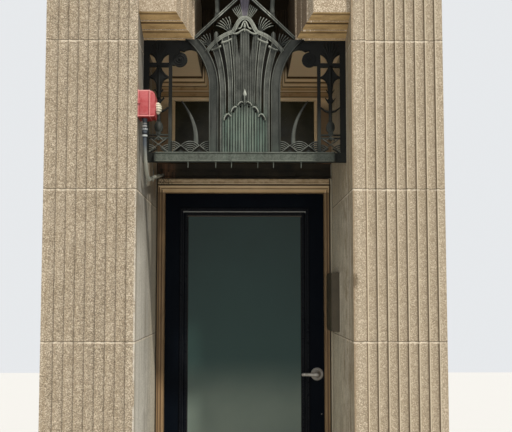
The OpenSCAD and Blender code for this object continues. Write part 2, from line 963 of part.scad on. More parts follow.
// the small bell and its drop inside the hood
module bell_outline() {
  z = shoulder_z + hood_z;
  w = yoke_w * 0.36;
  polygon(symmetric(curve([0, z + hood_h * 0.3], [hood_half * 0.2, z + hood_h * 0.32],
    [hood_half * 0.16, z + hood_h * 0.5], [0, z + hood_h * 0.64], 6)));
  both_sides()
    polygon(band(concat([[hood_half * 0.72, z + hood_h * 0.25], [hood_half * 0.5, z + hood_h * 0.26]],
      curve([hood_half * 0.4, z + hood_h * 0.28], [hood_half * 0.22, z + hood_h * 0.34],
        [hood_half * 0.22, z + hood_h * 0.74], [0, z + hood_h * 0.77], 8)), w, w));
  translate([-w / 4, z + hood_h * 0.6])
    square([w / 2, hood_h * 0.16]);
}

module grille_yoke() {
  color(bronze)
    difference() {
      union() {
        upright(relief_y - bead_relief, relief + plate_t + bead_relief)
          yoke_outline(yoke_w);
        upright(relief_y - 2 * bead_relief, bead_relief)
          yoke_outline(yoke_w * 0.5);
        upright(relief_y - bead_relief, relief + bead_relief)
          difference() {
            bell_outline();
            yoke_outline(yoke_w);
            shaft_outline();
          }
      }
      upright(relief_y - 3 * relief, 4 * relief + plate_t)
        both_sides()
          leg_outline(0, leg_w);
    }
}

module rails_outline() {
  drop = rail_w / cos(rail_angle);
  polygon([[slot_half, shoulder_z], [slot_half, shoulder_z + drop], [0, apex_z + drop],
    [-slot_half, shoulder_z + drop], [-slot_half, shoulder_z], [0, apex_z]]);
}

module grille_sloping_rails() {
  color(bronze)
    upright(grille_y - bead_relief, plate_t + bead_relief)
      rails_outline();
}

// blades that spread from a foot at p towards angles a0 to a1, bending as they go
module blades(p, len0, len1, a0, a1, n, bend) {
  for (i = [0:n - 1])
    let (a = a0 + (a1 - a0) * i / (n - 1), l = len0 + (len1 - len0) * i / (n - 1))
      polygon(band(curve(p, p + l * 0.4 * [cos(a + bend), sin(a + bend)],
        p + l * 0.75 * [cos(a + bend / 2), sin(a + bend / 2)], p + l * [cos(a), sin(a)], 6),
        wave_line, wave_line));
}

module grille_fans() {
  top = shoulder_z + hood_z + hood_h;
  color(bronze)
    upright(grille_y, plate_t)
      difference() {
        intersection() {
          union() {
            polygon([[-hood_half * 0.24, top], [hood_half * 0.24, top], [hood_half * 0.42, apex_z],
              [-hood_half * 0.42, apex_z]]);
            both_sides() {
              blades([hood_half * 0.3, top], hood_h * 0.95, hood_h * 0.95, 46, 70, 4, 22);
              blades([hood_half * 1.3, shoulder_z + hood_z], hood_h * 1.08, hood_h * 1.16, 30, 86, 6, 18);
              blades([leg_in * 1.34, shoulder_z - hood_z], hood_h * 0.9, hood_h * 0.98, 22, 88, 6, 14);
            }
          }
          polygon([[-slot_half, shoulder_z - leg_rise], [slot_half, shoulder_z - leg_rise],
            [slot_half, shoulder_z], [0, apex_z], [-slot_half, shoulder_z]]);
        }
        yoke_outline(yoke_w);
        both_sides() {
          leg_outline(0, leg_w);
          scroll_outline();
        }
      }
}

module grille_upper_bars() {
  bar_x = slot_half * 0.565;
  w = upper_bar_w;
  p = curve([bar_x, shoulder_z + rail_rise * 0.49], [bar_x - w * 0.5, shoulder_z + rail_rise * 0.6],
    [bar_x + w * 0.2, shoulder_z + slot_h * 0.6], [bar_x + w * 0.2, slot_top], 10);
  color(bronze)
    upright(grille_y, plate_t)
      difference() {
        both_sides() {
          polygon(band(p, w, w));
          post_outline();
        }
        yoke_outline(yoke_w);
        rails_outline();
        translate([-slot_half, slot_top])
          square([slot_w, w]);
      }
}

// a short gabled post that stands on the yoke's arm
module post_outline() {
  x0 = leg_in * 1.02;
  x1 = leg_in * 1.18;
  polygon([[x0, shoulder_z - hood_z * 0.1], [x1, shoulder_z - hood_z * 0.55], [x1, shoulder_z + hood_z],
    [(x0 + x1) / 2, shoulder_z + hood_z * 1.2], [x0, shoulder_z + hood_z]]);
}

// concentric arcs in a fan, closed by two straight sides
module wave_fan(r, half_angle) {
  rings = floor(r / (2 * wave_line));
  for (k = [0:rings - 1])
    let (ro = r - 2 * wave_line * k, n = 10)
      polygon(concat(arc(0, 0, ro, 90 - half_angle, 90 + half_angle, n),
        arc(0, 0, max(ro - wave_line, 0.5), 90 + half_angle, 90 - half_angle, n)));
  for (s = [-1, 1])
    rotate(-s * half_angle)
      translate([-wave_line / 2, 0])
        square([wave_line, r]);
}

module waves() {
  mid = (leg_out + side_in) / 2;
  leaf = curve([mid - wave_r * 0.45, bar_top + wave_r * 0.6], [mid - wave_r * 0.62, bar_top + wave_r * 2.3],
    [mid + wave_r * 0.1, bar_top + wave_r * 3.4], [mid + wave_r * 0.72, bar_top + wave_r * 4.3], 12);
  color(bronze)
    union() {
      upright(grille_y - relief / 2, plate_t + relief / 2)
        intersection() {
          union() {
            for (x = [leg_out, mid, side_in])
              translate([x, bar_top - wave_line / 2])
                wave_fan(wave_r, 50);
            for (x = [(leg_out + mid) / 2, (mid + side_in) / 2])
              translate([x, bar_top])
                polygon([[-wave_r * 0.3, 0], [wave_r * 0.3, 0], [0, wave_r * 0.26]]);
          }
          translate([leg_out, bar_top])
            square([side_in - leg_out, 2 * wave_r]);
        }
      upright(grille_y, plate_t)
        difference() {
          polygon(band(leaf, wave_r * 0.4, wave_r * 0.1));
          translate([mid, bar_top - wave_line / 2])
            circle(wave_r * 0.8);
        }
    }
}

module grille_left_waves() {
  mirror([1, 0, 0])
    waves();
}

module grille_right_waves() {
  waves();
}

// ornament between the two uprights, drawn in shares of its half width and of the light's height
module side_motif() {
  u = side_half;
  v = (shoulder_z - bar_top) / 630;
  fan = concat([[1, 0]], curve([1, 77], [0.62, 84], [0.34, 100], [0.22, 130], 6));
  bud = concat(curve([0.2, 146], [0.34, 172], [0.6, 196], [1, 203], 6),
    curve([1, 211], [0.7, 214], [0.42, 222], [0.3, 250], 6),
    [[0.17, 320], [0.3, 338], [0.16, 352], [0.16, 452]],
    curve([0.2, 456], [0.55, 474], [0.5, 506], [0.2, 516], 6),
    [[0.26, 520], [0.26, 530], [0.12, 534], [0.12, 560]]);
  translate([side_mid, shoulder_z])
    union() {
      polygon(symmetric([for (p = fan) [p[0] * u, -p[1] * v]]));
      polygon(symmetric([for (p = bud) [p[0] * u, -p[1] * v]]));
      both_sides()
        polygon(band([[0, -402 * v], [u * 0.5, -396 * v], [u, -376 * v]], 12 * v, 6 * v));
    }
}

module side_frame() {
  v = (shoulder_z - bar_top) / 630;
  light = half_w - outer_bar_w - side_in - inner_bar_w;
  color(bronze)
    upright(grille_y, plate_t)
      union() {
        translate([half_w - outer_bar_w, bar_z])
          square([outer_bar_w, shoulder_z - bar_z]);
        translate([side_in, bar_top])
          square([inner_bar_w, shoulder_z - bar_top]);
        for (b = [[18, 18], [150, 23], [534, 7], [552, 8]])
          translate([side_in, shoulder_z - b[0] * v])
            square([side_w, b[1] * v]);
        translate([half_w - bar_end, bar_z])
          square([bar_end, bar_h]);
        side_motif();
        intersection() {
          union() {
            for (x = [side_in + inner_bar_w, half_w - outer_bar_w])
              translate([x, bar_top - wave_line / 2])
                wave_fan(light * 0.46, 58);
            polygon(band([[side_mid - light * 0.4, bar_top + light * 0.72],
              [side_mid, bar_top + light * 0.42], [side_mid + light * 0.4, bar_top + light * 0.72]],
              wave_line, wave_line));
          }
          translate([side_in, bar_top])
            square([side_w, light * 0.8]);
        }
      }
}

module grille_left_side_frame() {
  mirror([1, 0, 0])
    side_frame();
}

module grille_right_side_frame() {
  side_frame();
}

// Fittings on the reveals

alarm_y = front_y + alarm_side * 0.1;

module alarm_back_box() {
  color(red_plastic)
    block([-half_w, alarm_y, alarm_z - alarm_side / 2],
      [alarm_out - half_w, alarm_y + alarm_side, alarm_z + alarm_side / 2]);
}

module alarm_horn() {
  r = horn_out * 0.95;
  low = alarm_z - alarm_side * 0.48;
  high = alarm_z + alarm_side * 0.49;
  color(red_plastic)
    translate([alarm_out - half_w, 0, 0])
      upright(alarm_y + alarm_side * 0.06, alarm_side * 0.88)
        polygon(concat([[0, low]], arc(horn_out - r / 3, low + r / 3, r / 3, 270, 360, 4),
          arc(horn_out - r, high - r, r, 0, 90, 8), [[0, high]]));
}

module alarm_lens() {
  cap = lens_r * 0.55;
  dome_r = (lens_r * lens_r + cap * cap) / (2 * cap);
  color([0.8, 0.78, 0.72])
    translate([alarm_out + horn_out - half_w, alarm_y + alarm_side / 2, alarm_z - alarm_side * 0.1])
      rotate([0, 90, 0])
        union() {
          cylinder(h = lens_r * 0.45, r = lens_r);
          intersection() {
            translate([0, 0, lens_r * 0.45 + cap - dome_r])
              sphere(dome_r);
            translate([0, 0, lens_r * 0.45])
              cylinder(h = cap, r = lens_r);
          }
        }
}

// the conduit drops from the box, bends and runs back to the rail under the window, rising as
// it goes; a sleeve covers each joint
module alarm_conduit() {
  x = conduit_off + conduit_d / 2 - half_w;
  y0 = alarm_y + alarm_side * 0.4;
  top = alarm_z - alarm_side / 2;
  centre_z = clear_top - threshold_h * 1.2 + conduit_bend;
  sleeve = conduit_d * 0.7;
  color(steel)
    union() {
      translate([x, y0, centre_z + sleeve / 4])
        cylinder(h = top - centre_z - sleeve / 4, r = conduit_d / 2);
      for (z = [top - sleeve, centre_z - sleeve / 4])
        translate([x, y0, z])
          cylinder(h = sleeve, r = conduit_d * 0.62);
      translate([x, y0 + conduit_bend, centre_z])
        rotate([90, 0, 90])
          rotate(180)
            rotate_extrude(angle = 90 + conduit_slope)
              translate([conduit_bend, 0])
                circle(conduit_d / 2);
      intersection() {
        translate([x, y0 + conduit_bend * (1 + sin(conduit_slope)),
          centre_z - conduit_bend * cos(conduit_slope)])
          rotate([conduit_slope - 90, 0, 0]) {
            translate([0, 0, -sleeve / 4])
              cylinder(h = sleeve, r = conduit_d * 0.62);
            translate([0, 0, sleeve / 4])
              cylinder(h = recess_depth, r = conduit_d / 2);
          }
        block([-half_w, front_y, 0], [half_w, window_y - 2 * window_step, bay_h]);
      }
    }
}

module reveal_box() {
  y1 = frame_y - reveal_box_back;
  lip = reveal_box_t * 0.1;
  color(brown_paint)
    union() {
      block([half_w - reveal_box_t + lip, y1 - reveal_box_l, reveal_box_z],
        [half_w, y1, reveal_box_z + reveal_box_h]);
      block([half_w - reveal_box_t, y1 - reveal_box_l + lip, reveal_box_z + lip],
        [half_w - reveal_box_t + lip, y1 - lip, reveal_box_z + reveal_box_h - lip]);
    }
}

left_pier();
right_pier();
left_head_stone();
right_head_stone();
slot_lintel();
frame_left_jamb();
frame_right_jamb();
frame_head();
threshold();
hinge_frame_side();
hinge_door_side();
hinge_pins();
strike_plate();
hinge_stile();
latch_stile();
top_rail();
bottom_rail();
outside_glass_moulding();
inside_glass_bead();
door_glass();
latch_face_plate();
outside_rose();
inside_rose();
lever_handle();
transom_rail();
window_left_stile();
window_right_stile();
window_left_moulding();
window_right_moulding();
slot_frame_head();
window_glass();
grille_bottom_bar();
grille_left_side_frame();
grille_right_side_frame();
grille_left_leg();
grille_right_leg();
grille_shaft();
grille_reeded_plate();
grille_left_ribs();
grille_right_ribs();
grille_yoke();
grille_sloping_rails();
grille_fans();
grille_upper_bars();
grille_left_waves();
grille_right_waves();
alarm_back_box();
alarm_horn();
alarm_lens();
alarm_conduit();
reveal_box();
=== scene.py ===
# Entrance bay: stone piers, a hinged glazed door deep in the recess, a window over it
# and the weathered bronze grille. The frame is in metres, z up, with its origin on the ground
# under the middle of the door frame; the trim below is drawn in millimetres.
import json
from math import acos, asin, atan2, cos, degrees, dist, hypot, pi, radians, sin, sqrt

import bmesh
import bpy
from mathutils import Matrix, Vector


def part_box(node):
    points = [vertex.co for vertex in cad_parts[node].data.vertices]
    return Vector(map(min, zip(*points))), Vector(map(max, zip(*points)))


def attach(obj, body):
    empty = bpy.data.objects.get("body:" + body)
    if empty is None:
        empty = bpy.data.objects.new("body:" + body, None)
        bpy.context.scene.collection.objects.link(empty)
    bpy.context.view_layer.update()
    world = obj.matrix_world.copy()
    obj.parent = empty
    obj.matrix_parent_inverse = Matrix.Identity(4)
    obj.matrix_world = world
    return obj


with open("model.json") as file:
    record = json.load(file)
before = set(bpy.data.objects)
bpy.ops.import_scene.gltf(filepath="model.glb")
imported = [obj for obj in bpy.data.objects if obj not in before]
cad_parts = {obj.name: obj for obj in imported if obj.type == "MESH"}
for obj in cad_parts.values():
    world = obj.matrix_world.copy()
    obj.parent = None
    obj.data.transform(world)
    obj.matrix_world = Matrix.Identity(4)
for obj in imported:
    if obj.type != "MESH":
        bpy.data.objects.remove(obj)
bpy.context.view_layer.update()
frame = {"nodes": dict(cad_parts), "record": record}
cadNodes = frame["nodes"]
print("frame loaded:", len(cadNodes), "nodes")


def newObject(name, data):
    made = bpy.data.objects.new(name, data)
    bpy.context.scene.collection.objects.link(made)
    return made


# camera at eye height before the door, tipped up a little; angles in degrees, lens in millimetres
view = {"eye": (0, -5.925, 1.502), "pitch": 4.82, "yaw": -0.71, "lens": 65.04, "sensor": 36,
        "reach": 200}

camData = bpy.data.cameras.new("streetCamera")
camData.lens = view["lens"]
camData.sensor_width = view["sensor"]
camData.clip_end = view["reach"]
cam = newObject("streetCamera", camData)
cam.location = view["eye"]
cam.rotation_euler = (radians(90 + view["pitch"]), 0, radians(view["yaw"]))
bpy.context.scene.camera = cam


# a node with its sockets and settings, and what comes out of it
def put(tree, kind, sockets, output=0, **settings):
    node = tree.nodes.new(kind)
    for key, value in settings.items():
        setattr(node, key, value)
    for key, value in sockets.items():
        if isinstance(value, Value):
            tree.links.new(value.socket, node.inputs[key])
        else:
            node.inputs[key].default_value = value
    return Value(tree, node.outputs[output])


# a number or a colour in a node tree; each sign between such values adds a maths node
class Value:
    def __init__(self, tree, socket):
        self.tree = tree
        self.socket = socket

    def calc(self, operation, other=0):
        return put(self.tree, "ShaderNodeMath", {0: self, 1: other}, operation=operation)

    def __add__(self, other):
        return self.calc("ADD", other)

    def __sub__(self, other):
        return self.calc("SUBTRACT", other)

    def __rsub__(self, other):
        return put(self.tree, "ShaderNodeMath", {0: other, 1: self}, operation="SUBTRACT")

    def __mul__(self, other):
        return self.calc("MULTIPLY", other)

    def __truediv__(self, other):
        return self.calc("DIVIDE", other)

    def __gt__(self, other):
        return self.calc("GREATER_THAN", other)

    def __lt__(self, other):
        return self.calc("LESS_THAN", other)

    def __abs__(self):
        return self.calc("ABSOLUTE")

    def ramp(self, low, high, end=1, start=0, smooth=False):
        return put(self.tree, "ShaderNodeMapRange", {0: self, 1: low, 2: high, 3: start, 4: end},
                   interpolation_type="SMOOTHSTEP" if smooth else "LINEAR", clamp=True)

    def line(self, centre, half, strength):  # a soft-edged stripe round one value
        return abs(self - centre).ramp(half * 0.6, half * 1.3, 0, strength)


# a material; colours are laid one over the other
class Finish:
    def __init__(self, name, roughness, metallic=0, gloss=0.5):
        self.material = bpy.data.materials.new(name)
        self.material.use_nodes = True
        self.tree = self.material.node_tree
        self.sockets = self.tree.nodes["Principled BSDF"].inputs
        self.sockets["Roughness"].default_value = roughness
        self.sockets["Metallic"].default_value = metallic
        self.sockets["Specular IOR Level"].default_value = gloss

    def place(self, scale=(1, 1, 1)):
        coordinates = put(self.tree, "ShaderNodeTexCoord", {}, "Object")
        return put(self.tree, "ShaderNodeMapping", {0: coordinates, "Scale": scale})

    def axis(self, letter, what="Object"):
        coordinates = put(self.tree, "ShaderNodeTexCoord", {}, what)
        return put(self.tree, "ShaderNodeSeparateXYZ", {0: coordinates}, "XYZ".index(letter))

    def facing(self, letter):
        return self.axis(letter, "Normal")

    def noise(self, scale, detail=4, rough=0.55, across=1, up=1):
        where = self.place((across, 1, up))
        sockets = {"Vector": where, "Scale": scale, "Detail": detail, "Roughness": rough}
        return put(self.tree, "ShaderNodeTexNoise", sockets, "Fac")

    def mix(self, amount, under, over):
        under, over = ((*c, 1) if isinstance(c, tuple) else c for c in (under, over))
        return put(self.tree, "ShaderNodeMix", {0: amount, 6: under, 7: over}, 2, data_type="RGBA",
                   blend_type="MIX", clamp_factor=True)

    def start(self, amount, under, over):
        self.tone = self.mix(amount, under, over)

    def lay(self, amount, colour):
        self.tone = self.mix(amount, self.tone, colour)

    def feed(self, name, value):
        self.tree.links.new(value.socket, self.sockets[name])

    def done(self, height=None, strength=0.3, distance=0.001):
        self.feed("Base Color", self.tone)
        if height:
            relief = {"Strength": strength, "Distance": distance, "Height": height}
            self.feed("Normal", put(self.tree, "ShaderNodeBump", relief))
        return self.material


# stone, all in metres
stone = {
    "pier": ((0.34, 0.27, 0.185), (0.41, 0.335, 0.243)), "darkAndShade": (0.1, 0.078, 0.052),
    "head": ((0.345, 0.268, 0.182), (0.4, 0.318, 0.228)), "headSoot": (0.2, 0.15, 0.09),
    "leftReveal": ((0.31, 0.285, 0.235), (0.47, 0.45, 0.4)), "light": (0.8, 0.69, 0.53),
    "rightReveal": ((0.48, 0.41, 0.3), (0.7, 0.63, 0.49)), "firstFlute": 0.635, "lastFlute": 1.0045,
    "pitch": 0.0525, "joints": (0.474, 1.26, 2.046, 2.832), "frontY": -1.165, "halfW": 0.56,
    "chip": (0.566, -1.165, 0.785),
}


def speckledStone(f, warm, pale, dark):
    cells = put(f.tree, "ShaderNodeTexVoronoi", {"Vector": f.place(), "Scale": 260}, "Color")
    fine = put(f.tree, "ShaderNodeSeparateColor", {0: cells}) * 0.4 + f.noise(420, 2, 0.7) * 0.6
    pits = f.noise(110, 4, 0.7, 1, 0.6)
    f.start(f.noise(7, 5, 0.6).ramp(0.35, 0.65), warm, pale)
    f.lay(f.noise(9, 4, 0.6, 1, 0.12).ramp(0.55, 0.8, 0.25), dark)
    f.lay(pits.ramp(0.38, 0.5, 0, 0.14), dark)
    f.lay(fine.ramp(0.26, 0.44, 0, 0.8), dark)
    f.lay(fine.ramp(0.54, 0.7, 0.85), stone["light"])
    return fine, pits


def bedJoints(f):
    z = f.axis("Z") + f.noise(45, 4, 0.7) * 0.014 - 0.007
    broken = f.noise(16, 4, 0.7, 1, 0.2).ramp(0.42, 0.56, 1, 0.15)
    for height in stone["joints"]:
        # painted highlight: a broken light line on the lower stone's top arris under each joint
        f.lay(z.line(height - 0.006, 0.005, 0.8) * broken, (0.8, 0.7, 0.55))
        f.lay(z.line(height, 0.0025, 0.8), (0.1, 0.075, 0.045))


def flutedFront(f, depth, right):
    x, z, flank = f.axis("X"), f.axis("Z"), f.facing("X")
    fine, pits = speckledStone(f, *stone["pier"], stone["darkAndShade"])
    shallow = depth < 0.02
    f.lay(right * 0.2, (0.6, 0.5, 0.36))
    # painted shade on the flutes' left-facing flanks, deeper in each flute
    paintedFlankShade = flank.ramp(-0.3, -0.7) * shallow * right.ramp(0, 1, 1, 0.38)
    f.lay(paintedFlankShade * depth.ramp(0.003, 0.005, 0.95, 0.2), (0.07, 0.045, 0.02))
    # painted highlight along the flutes' arrises
    paintedArrisHighlight = (x > stone["firstFlute"] - 0.003) * (x < stone["lastFlute"]) * depth.ramp(0.004, 0.002, 0.6)
    f.lay(paintedArrisHighlight, (0.82, 0.71, 0.53))
    # painted shade line just outside the first flute of the right pier
    f.lay(x.line(stone["firstFlute"] - 0.006, 0.0035, 0.8), (0.12, 0.08, 0.045))
    # painted shade on the flutes' right-facing flanks
    f.lay(flank.ramp(0.35, 0.85) * (shallow * 0.15), (0.16, 0.115, 0.065))
    # painted shade at the bottom of the flutes, in the dark stone tone
    f.lay(depth.ramp(0.004, 0.013, 0.1), stone["darkAndShade"])
    # painted shade: each flute of the right pier grows darker towards its right edge
    across = (x - stone["firstFlute"]) / stone["pitch"]
    across = across.calc("FRACT") * right * shallow
    f.lay(across.ramp(0.1, 0.95, 0.22), (0.2, 0.14, 0.08))
    worn = x.line(-0.561, 0.007, 0.8) * z.ramp(2.2, 1.9)  # the left pier's rubbed edge, also whitened as painted sunlight on it
    f.lay(worn * f.noise(22, 5, 0.7, 1, 0.4).ramp(0.38, 0.55), (0.66, 0.62, 0.54))
    f.lay(x.line(0.564, 0.0048, 0.6) * (depth < 0.003), (0.26, 0.18, 0.1))  # the right one's stained edge
    return fine, pits


def reveals(f, depth, right, fine):
    z, cloud = f.axis("Z"), f.noise(5, 5, 0.65).ramp(0.32, 0.68)
    drips, blotch = f.noise(24, 4, 0.6, 1, 0.07), f.noise(13, 6, 0.7)
    f.start(cloud, *stone["leftReveal"])
    # painted shade up high and painted sunlight low down on the left reveal
    f.lay(z.ramp(1.7, 2.4, 0.5), (0.17, 0.15, 0.115))
    f.lay(z.ramp(1.4, 0.9) * blotch.ramp(0.3, 0.7), (0.82, 0.79, 0.71))
    f.lay(z.ramp(1.95, 1.7) * depth.ramp(0.75, 0.25, 0.75), (0.74, 0.71, 0.63))  # painted sunlight on the front part, low down
    f.lay(depth.ramp(0.45, 0.95) * z.ramp(1.9, 2.2) * drips.ramp(0.4, 0.55, 0.8, 0.25), (0.4, 0.27, 0.13))
    # painted light lifting the shade deep in the left reveal
    f.lay(depth.ramp(0.6, 0.95, 0.75) * z.ramp(2.1, 2), (0.78, 0.7, 0.55))
    left = f.tone
    f.start(cloud, *stone["rightReveal"])
    f.lay(blotch.ramp(0.46, 0.66, 0.8), (0.25, 0.18, 0.095))
    # painted light lifting the shade deep in the right reveal
    f.lay(depth.ramp(0.4, 1, 0.7), (0.95, 0.88, 0.7))
    f.lay(z.ramp(1.95, 2.15, 0.35), (0.44, 0.32, 0.16))
    f.lay(depth.ramp(0.21, 0.14, 0.35), (0.24, 0.17, 0.09))
    f.lay(depth.line(0.19, 0.02, 0.45), (0.14, 0.09, 0.05))
    bedding = depth.line(0.665, 0.014, 0.7) * z.ramp(1.64, 1.62) * z.ramp(1.27, 1.29)
    f.lay(bedding, (0.98, 0.94, 0.84))  # light line beside the flat box
    f.tone = f.mix(right, left, f.tone)
    f.lay(drips.ramp(0.54, 0.72, 0.5), (0.19, 0.155, 0.105))
    f.lay(drips.ramp(0.44, 0.34, 0.35), (0.68, 0.66, 0.6))
    f.lay(fine.ramp(0.34, 0.5, 0, 0.45), (0.16, 0.14, 0.11))
    f.lay(depth.ramp(0.03, 0.09, 0, 0.5), (0.24, 0.19, 0.12))


def pierStone():
    f = Finish("pierLimestone", 0.92, 0, 0.3)
    x, depth = f.axis("X"), f.axis("Y") - stone["frontY"]
    right = x > 0
    fine, pits = flutedFront(f, depth, right)
    front = f.tone
    reveals(f, depth, right, fine)
    inside = (abs(x) < stone["halfW"] + 0.001) * (depth > 0.003)
    f.tone = f.mix(inside, front, f.tone)
    bedJoints(f)
    chip = {0: f.place((1, 1, 0.5)), 1: stone["chip"]}
    chip = put(f.tree, "ShaderNodeVectorMath", chip, "Value", operation="DISTANCE") + pits * 0.05
    f.lay(chip.ramp(0.05, 0.036, 0.9), (0.15, 0.11, 0.065))
    return f.done(fine * 2 + pits * 0.9 + f.noise(40, 4) * 0.7, 0.85, 0.0024)


def headStone():
    f = Finish("headLimestone", 0.9, 0, 0.3)
    fine, pits = speckledStone(f, *stone["head"], stone["headSoot"])
    x, y, z = (f.axis(letter) for letter in "XYZ")
    down = f.facing("Z").ramp(-0.3, -0.9)
    # painted warm bounce light on the undersides
    f.lay(down * 0.82, (0.62, 0.41, 0.17))
    f.lay(down * f.noise(16, 5, 0.65, 0.4).ramp(0.45, 0.7, 0.7), (0.24, 0.15, 0.06))
    # painted light on the soffit behind the grille
    f.lay(down * (y > -0.887) * 0.9, (0.9, 0.72, 0.48))
    for depth, amount in ((-1.117, 0.6), (-1.038, 0.92), (-0.957, 0.6)):  # painted shade behind each nose
        f.lay(down * y.line(depth, 0.009, amount), (0.07, 0.038, 0.014))
    # painted sunlight on the front-facing risers of the right stone's slot steps, with one painted shade line
    steps = (f.facing("Y") < -0.5) * (y > -1.12)
    for across, half, colour in ((0.358, 0.003, "light"), (0.326, 0.008, "light"), (0.3145, 0.004, "darkAndShade"),
                                 (0.294, 0.004, "light")):
        f.lay(steps * x.line(across, half, 0.85), stone[colour])
    # painted shade on the left-facing step faces deep in the slot
    f.lay(f.facing("X").ramp(-0.4, -0.9) * (y > -1.05) * 0.7, (0.1, 0.06, 0.03))
    # painted shade on the left head stone, except its undersides
    f.lay((x < 0) * (1 - down) * 0.16, (0.2, 0.15, 0.1))
    f.lay((z > 3.3) * down, (0.035, 0.025, 0.014))
    return f.done(fine + pits, 0.5, 0.0014)


# paint, metal, glass and plastic
def agedPaint(name, base, worn, roughness, amount, bump=0.12, gloss=0.5, lines=()):
    f = Finish(name, roughness, 0, gloss)
    f.start(f.noise(6, 5, 0.6).ramp(0.35, 0.7, amount), base, worn)
    f.lay(f.noise(26, 3, 0.5, 1, 0.08).ramp(0.55, 0.75, amount * 0.8), worn)
    f.lay(f.noise(190, 3, 0.7).ramp(0.56, 0.7, amount * 0.6), worn)
    for letter, centre, half, colour in lines:
        f.lay(f.axis(letter).line(centre, half, 0.85), colour)
    f.feed("Roughness", f.noise(40).ramp(0.3, 0.7, min(roughness * 1.25, 1), roughness * 0.8))
    return f.done(f.noise(160, 2), bump, 0.0006)


# the door frame's paint; its glints are painted highlights and its groove shades painted shade; a band has
# its place, half its width, its strength and its colour
casing = {
    "tan": ((0.33, 0.22, 0.115), (0.26, 0.17, 0.085)), "litHeadTan": ((0.8, 0.57, 0.31), (0.62, 0.42, 0.2)),
    "glint": (0.95, 0.76, 0.5), "grooveShade": (0.03, 0.016, 0.006), "headZ": 2.1475, "topZ": 2.1965,
    "mitre": 1.6395, "turningZ": 2.19, "jambBands": ((0.5427, 0.003), (0.5253, 0.0034)),
    "headBands": ((2.2205, 0.003, 0.35, "glint"), (2.202, 0.003, 0.6, "glint"),
                  (2.1835, 0.0036, 0.7, "glint"), (2.166, 0.003, 0.5, "glint"),
                  (2.1952, 0.0046, 0.98, "grooveShade"), (2.1712, 0.003, 0.6, "grooveShade")),
    "turnedBands": ((0.5427, 0.003, 0.85, "grooveShade"), (0.5253, 0.0034, 0.7, "grooveShade"),
                    (0.534, 0.003, 0.5, "glint"), (0.516, 0.003, 0.5, "glint")),
}


def framePaint():
    f = Finish("tanFramePaint", 0.5, 0, 0.35)
    c, cloud, signed, z = casing, f.noise(6, 5, 0.6), f.axis("X"), f.axis("Z")
    x = abs(signed)
    f.start(cloud.ramp(0.35, 0.7), *c["tan"])
    f.lay(f.noise(30, 3, 0.5, 1, 0.08).ramp(0.5, 0.72, 0.6), (0.17, 0.1, 0.045))
    top = z > c["headZ"]
    peeling = f.noise(70, 5, 0.7, 0.5).ramp(0.42, 0.6, 0.6) * z.ramp(2.198, 2.203)
    # the head is painted lighter than the jambs, painted light against its shade under the soffit
    f.lay(top, f.mix(cloud.ramp(0.3, 0.7), *c["litHeadTan"]))
    f.lay(z > c["topZ"], (0.36, 0.25, 0.13))
    f.lay(peeling, (0.66, 0.52, 0.34))
    # painted shade in the jambs' grooves
    for centre, half in c["jambBands"]:
        f.lay(x.line(centre, half, 0.85) * (1 - top), (0.1, 0.05, 0.02))
    level = z - x > c["mitre"]  # the lower fasciae turn down at the mitred corners
    # painted highlights and painted shade along the head's fasciae
    for centre, half, amount, colour in c["headBands"]:
        band = z.line(centre, half, amount) * top
        f.lay(band * level if centre < c["turningZ"] else band, c[colour])
    # the same where the fasciae turn down at the corners
    upright = (1 - level) * (z < 2.192) * top
    for centre, half, amount, colour in c["turnedBands"]:
        f.lay(x.line(centre, half, amount) * upright, c[colour])
    soiled = f.noise(90, 5, 0.75).ramp(0.47, 0.56) * signed.ramp(-0.42, -0.5) * z.ramp(2.19, 2.2)
    f.lay(soiled * 0.85, (0.02, 0.016, 0.01))
    f.lay(x.ramp(0.549, 0.553, 0.92), (0.016, 0.012, 0.008))
    f.lay(signed.line(0.542, 0.0036, 0.97), (0.008, 0.005, 0.002))  # joint and mortar at the right jamb
    f.lay(signed.ramp(0.5455, 0.547), (0.5, 0.45, 0.34))
    return f.done(f.noise(160, 3) + peeling * 0.8, 0.25, 0.001)


# bands over the window's moulding, painted highlights and painted shade: share of the way in, half width,
# strength, colour
moulding = {
    "low": 2.753, "high": 2.906, "lip": 0.201, "slot": 0.279, "light": (0.85, 0.7, 0.48),
    "dark": (0.045, 0.024, 0.01),
    "bands": ((0.06, 0.06, 0.9, "light"), (0.145, 0.02, 0.9, "dark"), (0.34, 0.02, 0.5, "dark"),
              (0.385, 0.025, 0.6, "light"), (0.56, 0.02, 0.75, "dark"), (0.63, 0.04, 0.8, "light"),
              (0.745, 0.035, 0.8, "dark"), (0.84, 0.045, 0.92, "light"), (0.95, 0.05, 0.95, "dark")),
}


def windowPaint():
    f = Finish("brownWindowPaint", 0.6, 0, 0.2)
    m, x, z = moulding, abs(f.axis("X")), f.axis("Z")
    rust = f.noise(34, 5, 0.7, 0.6)
    f.start(f.noise(9, 5, 0.65).ramp(0.35, 0.7), (0.82, 0.61, 0.35), (0.64, 0.44, 0.21))
    f.lay(rust.ramp(0.56, 0.7, 0.6), (0.22, 0.1, 0.04))
    # across the head as well as up the slot
    share = z.ramp(m["low"], m["high"]).calc("MINIMUM", x.ramp(m["lip"], m["slot"]))
    f.lay(share.ramp(0.13, 0.16) * share.ramp(0.52, 0.48) * 0.6, (0.3, 0.165, 0.065))
    # painted highlights and painted shade along the moulding's steps
    for centre, half, amount, colour in m["bands"]:
        f.lay(share.line(centre, half, amount), m[colour])
    f.lay(z.ramp(2.91, 2.98, 0.94, smooth=True), (0.022, 0.014, 0.007))
    # painted shade at the bottom of the window, under the grille's bar
    f.lay(z.ramp(2.37, 2.35, 0.95), (0.03, 0.02, 0.01))
    # painted shade on the window's stiles behind the side ornaments
    f.lay(x.ramp(0.462, 0.475) * z.ramp(2.75, 2.68) * 0.8, (0.09, 0.045, 0.022))
    return f.done(rust + f.noise(150, 3), 0.3, 0.0012)


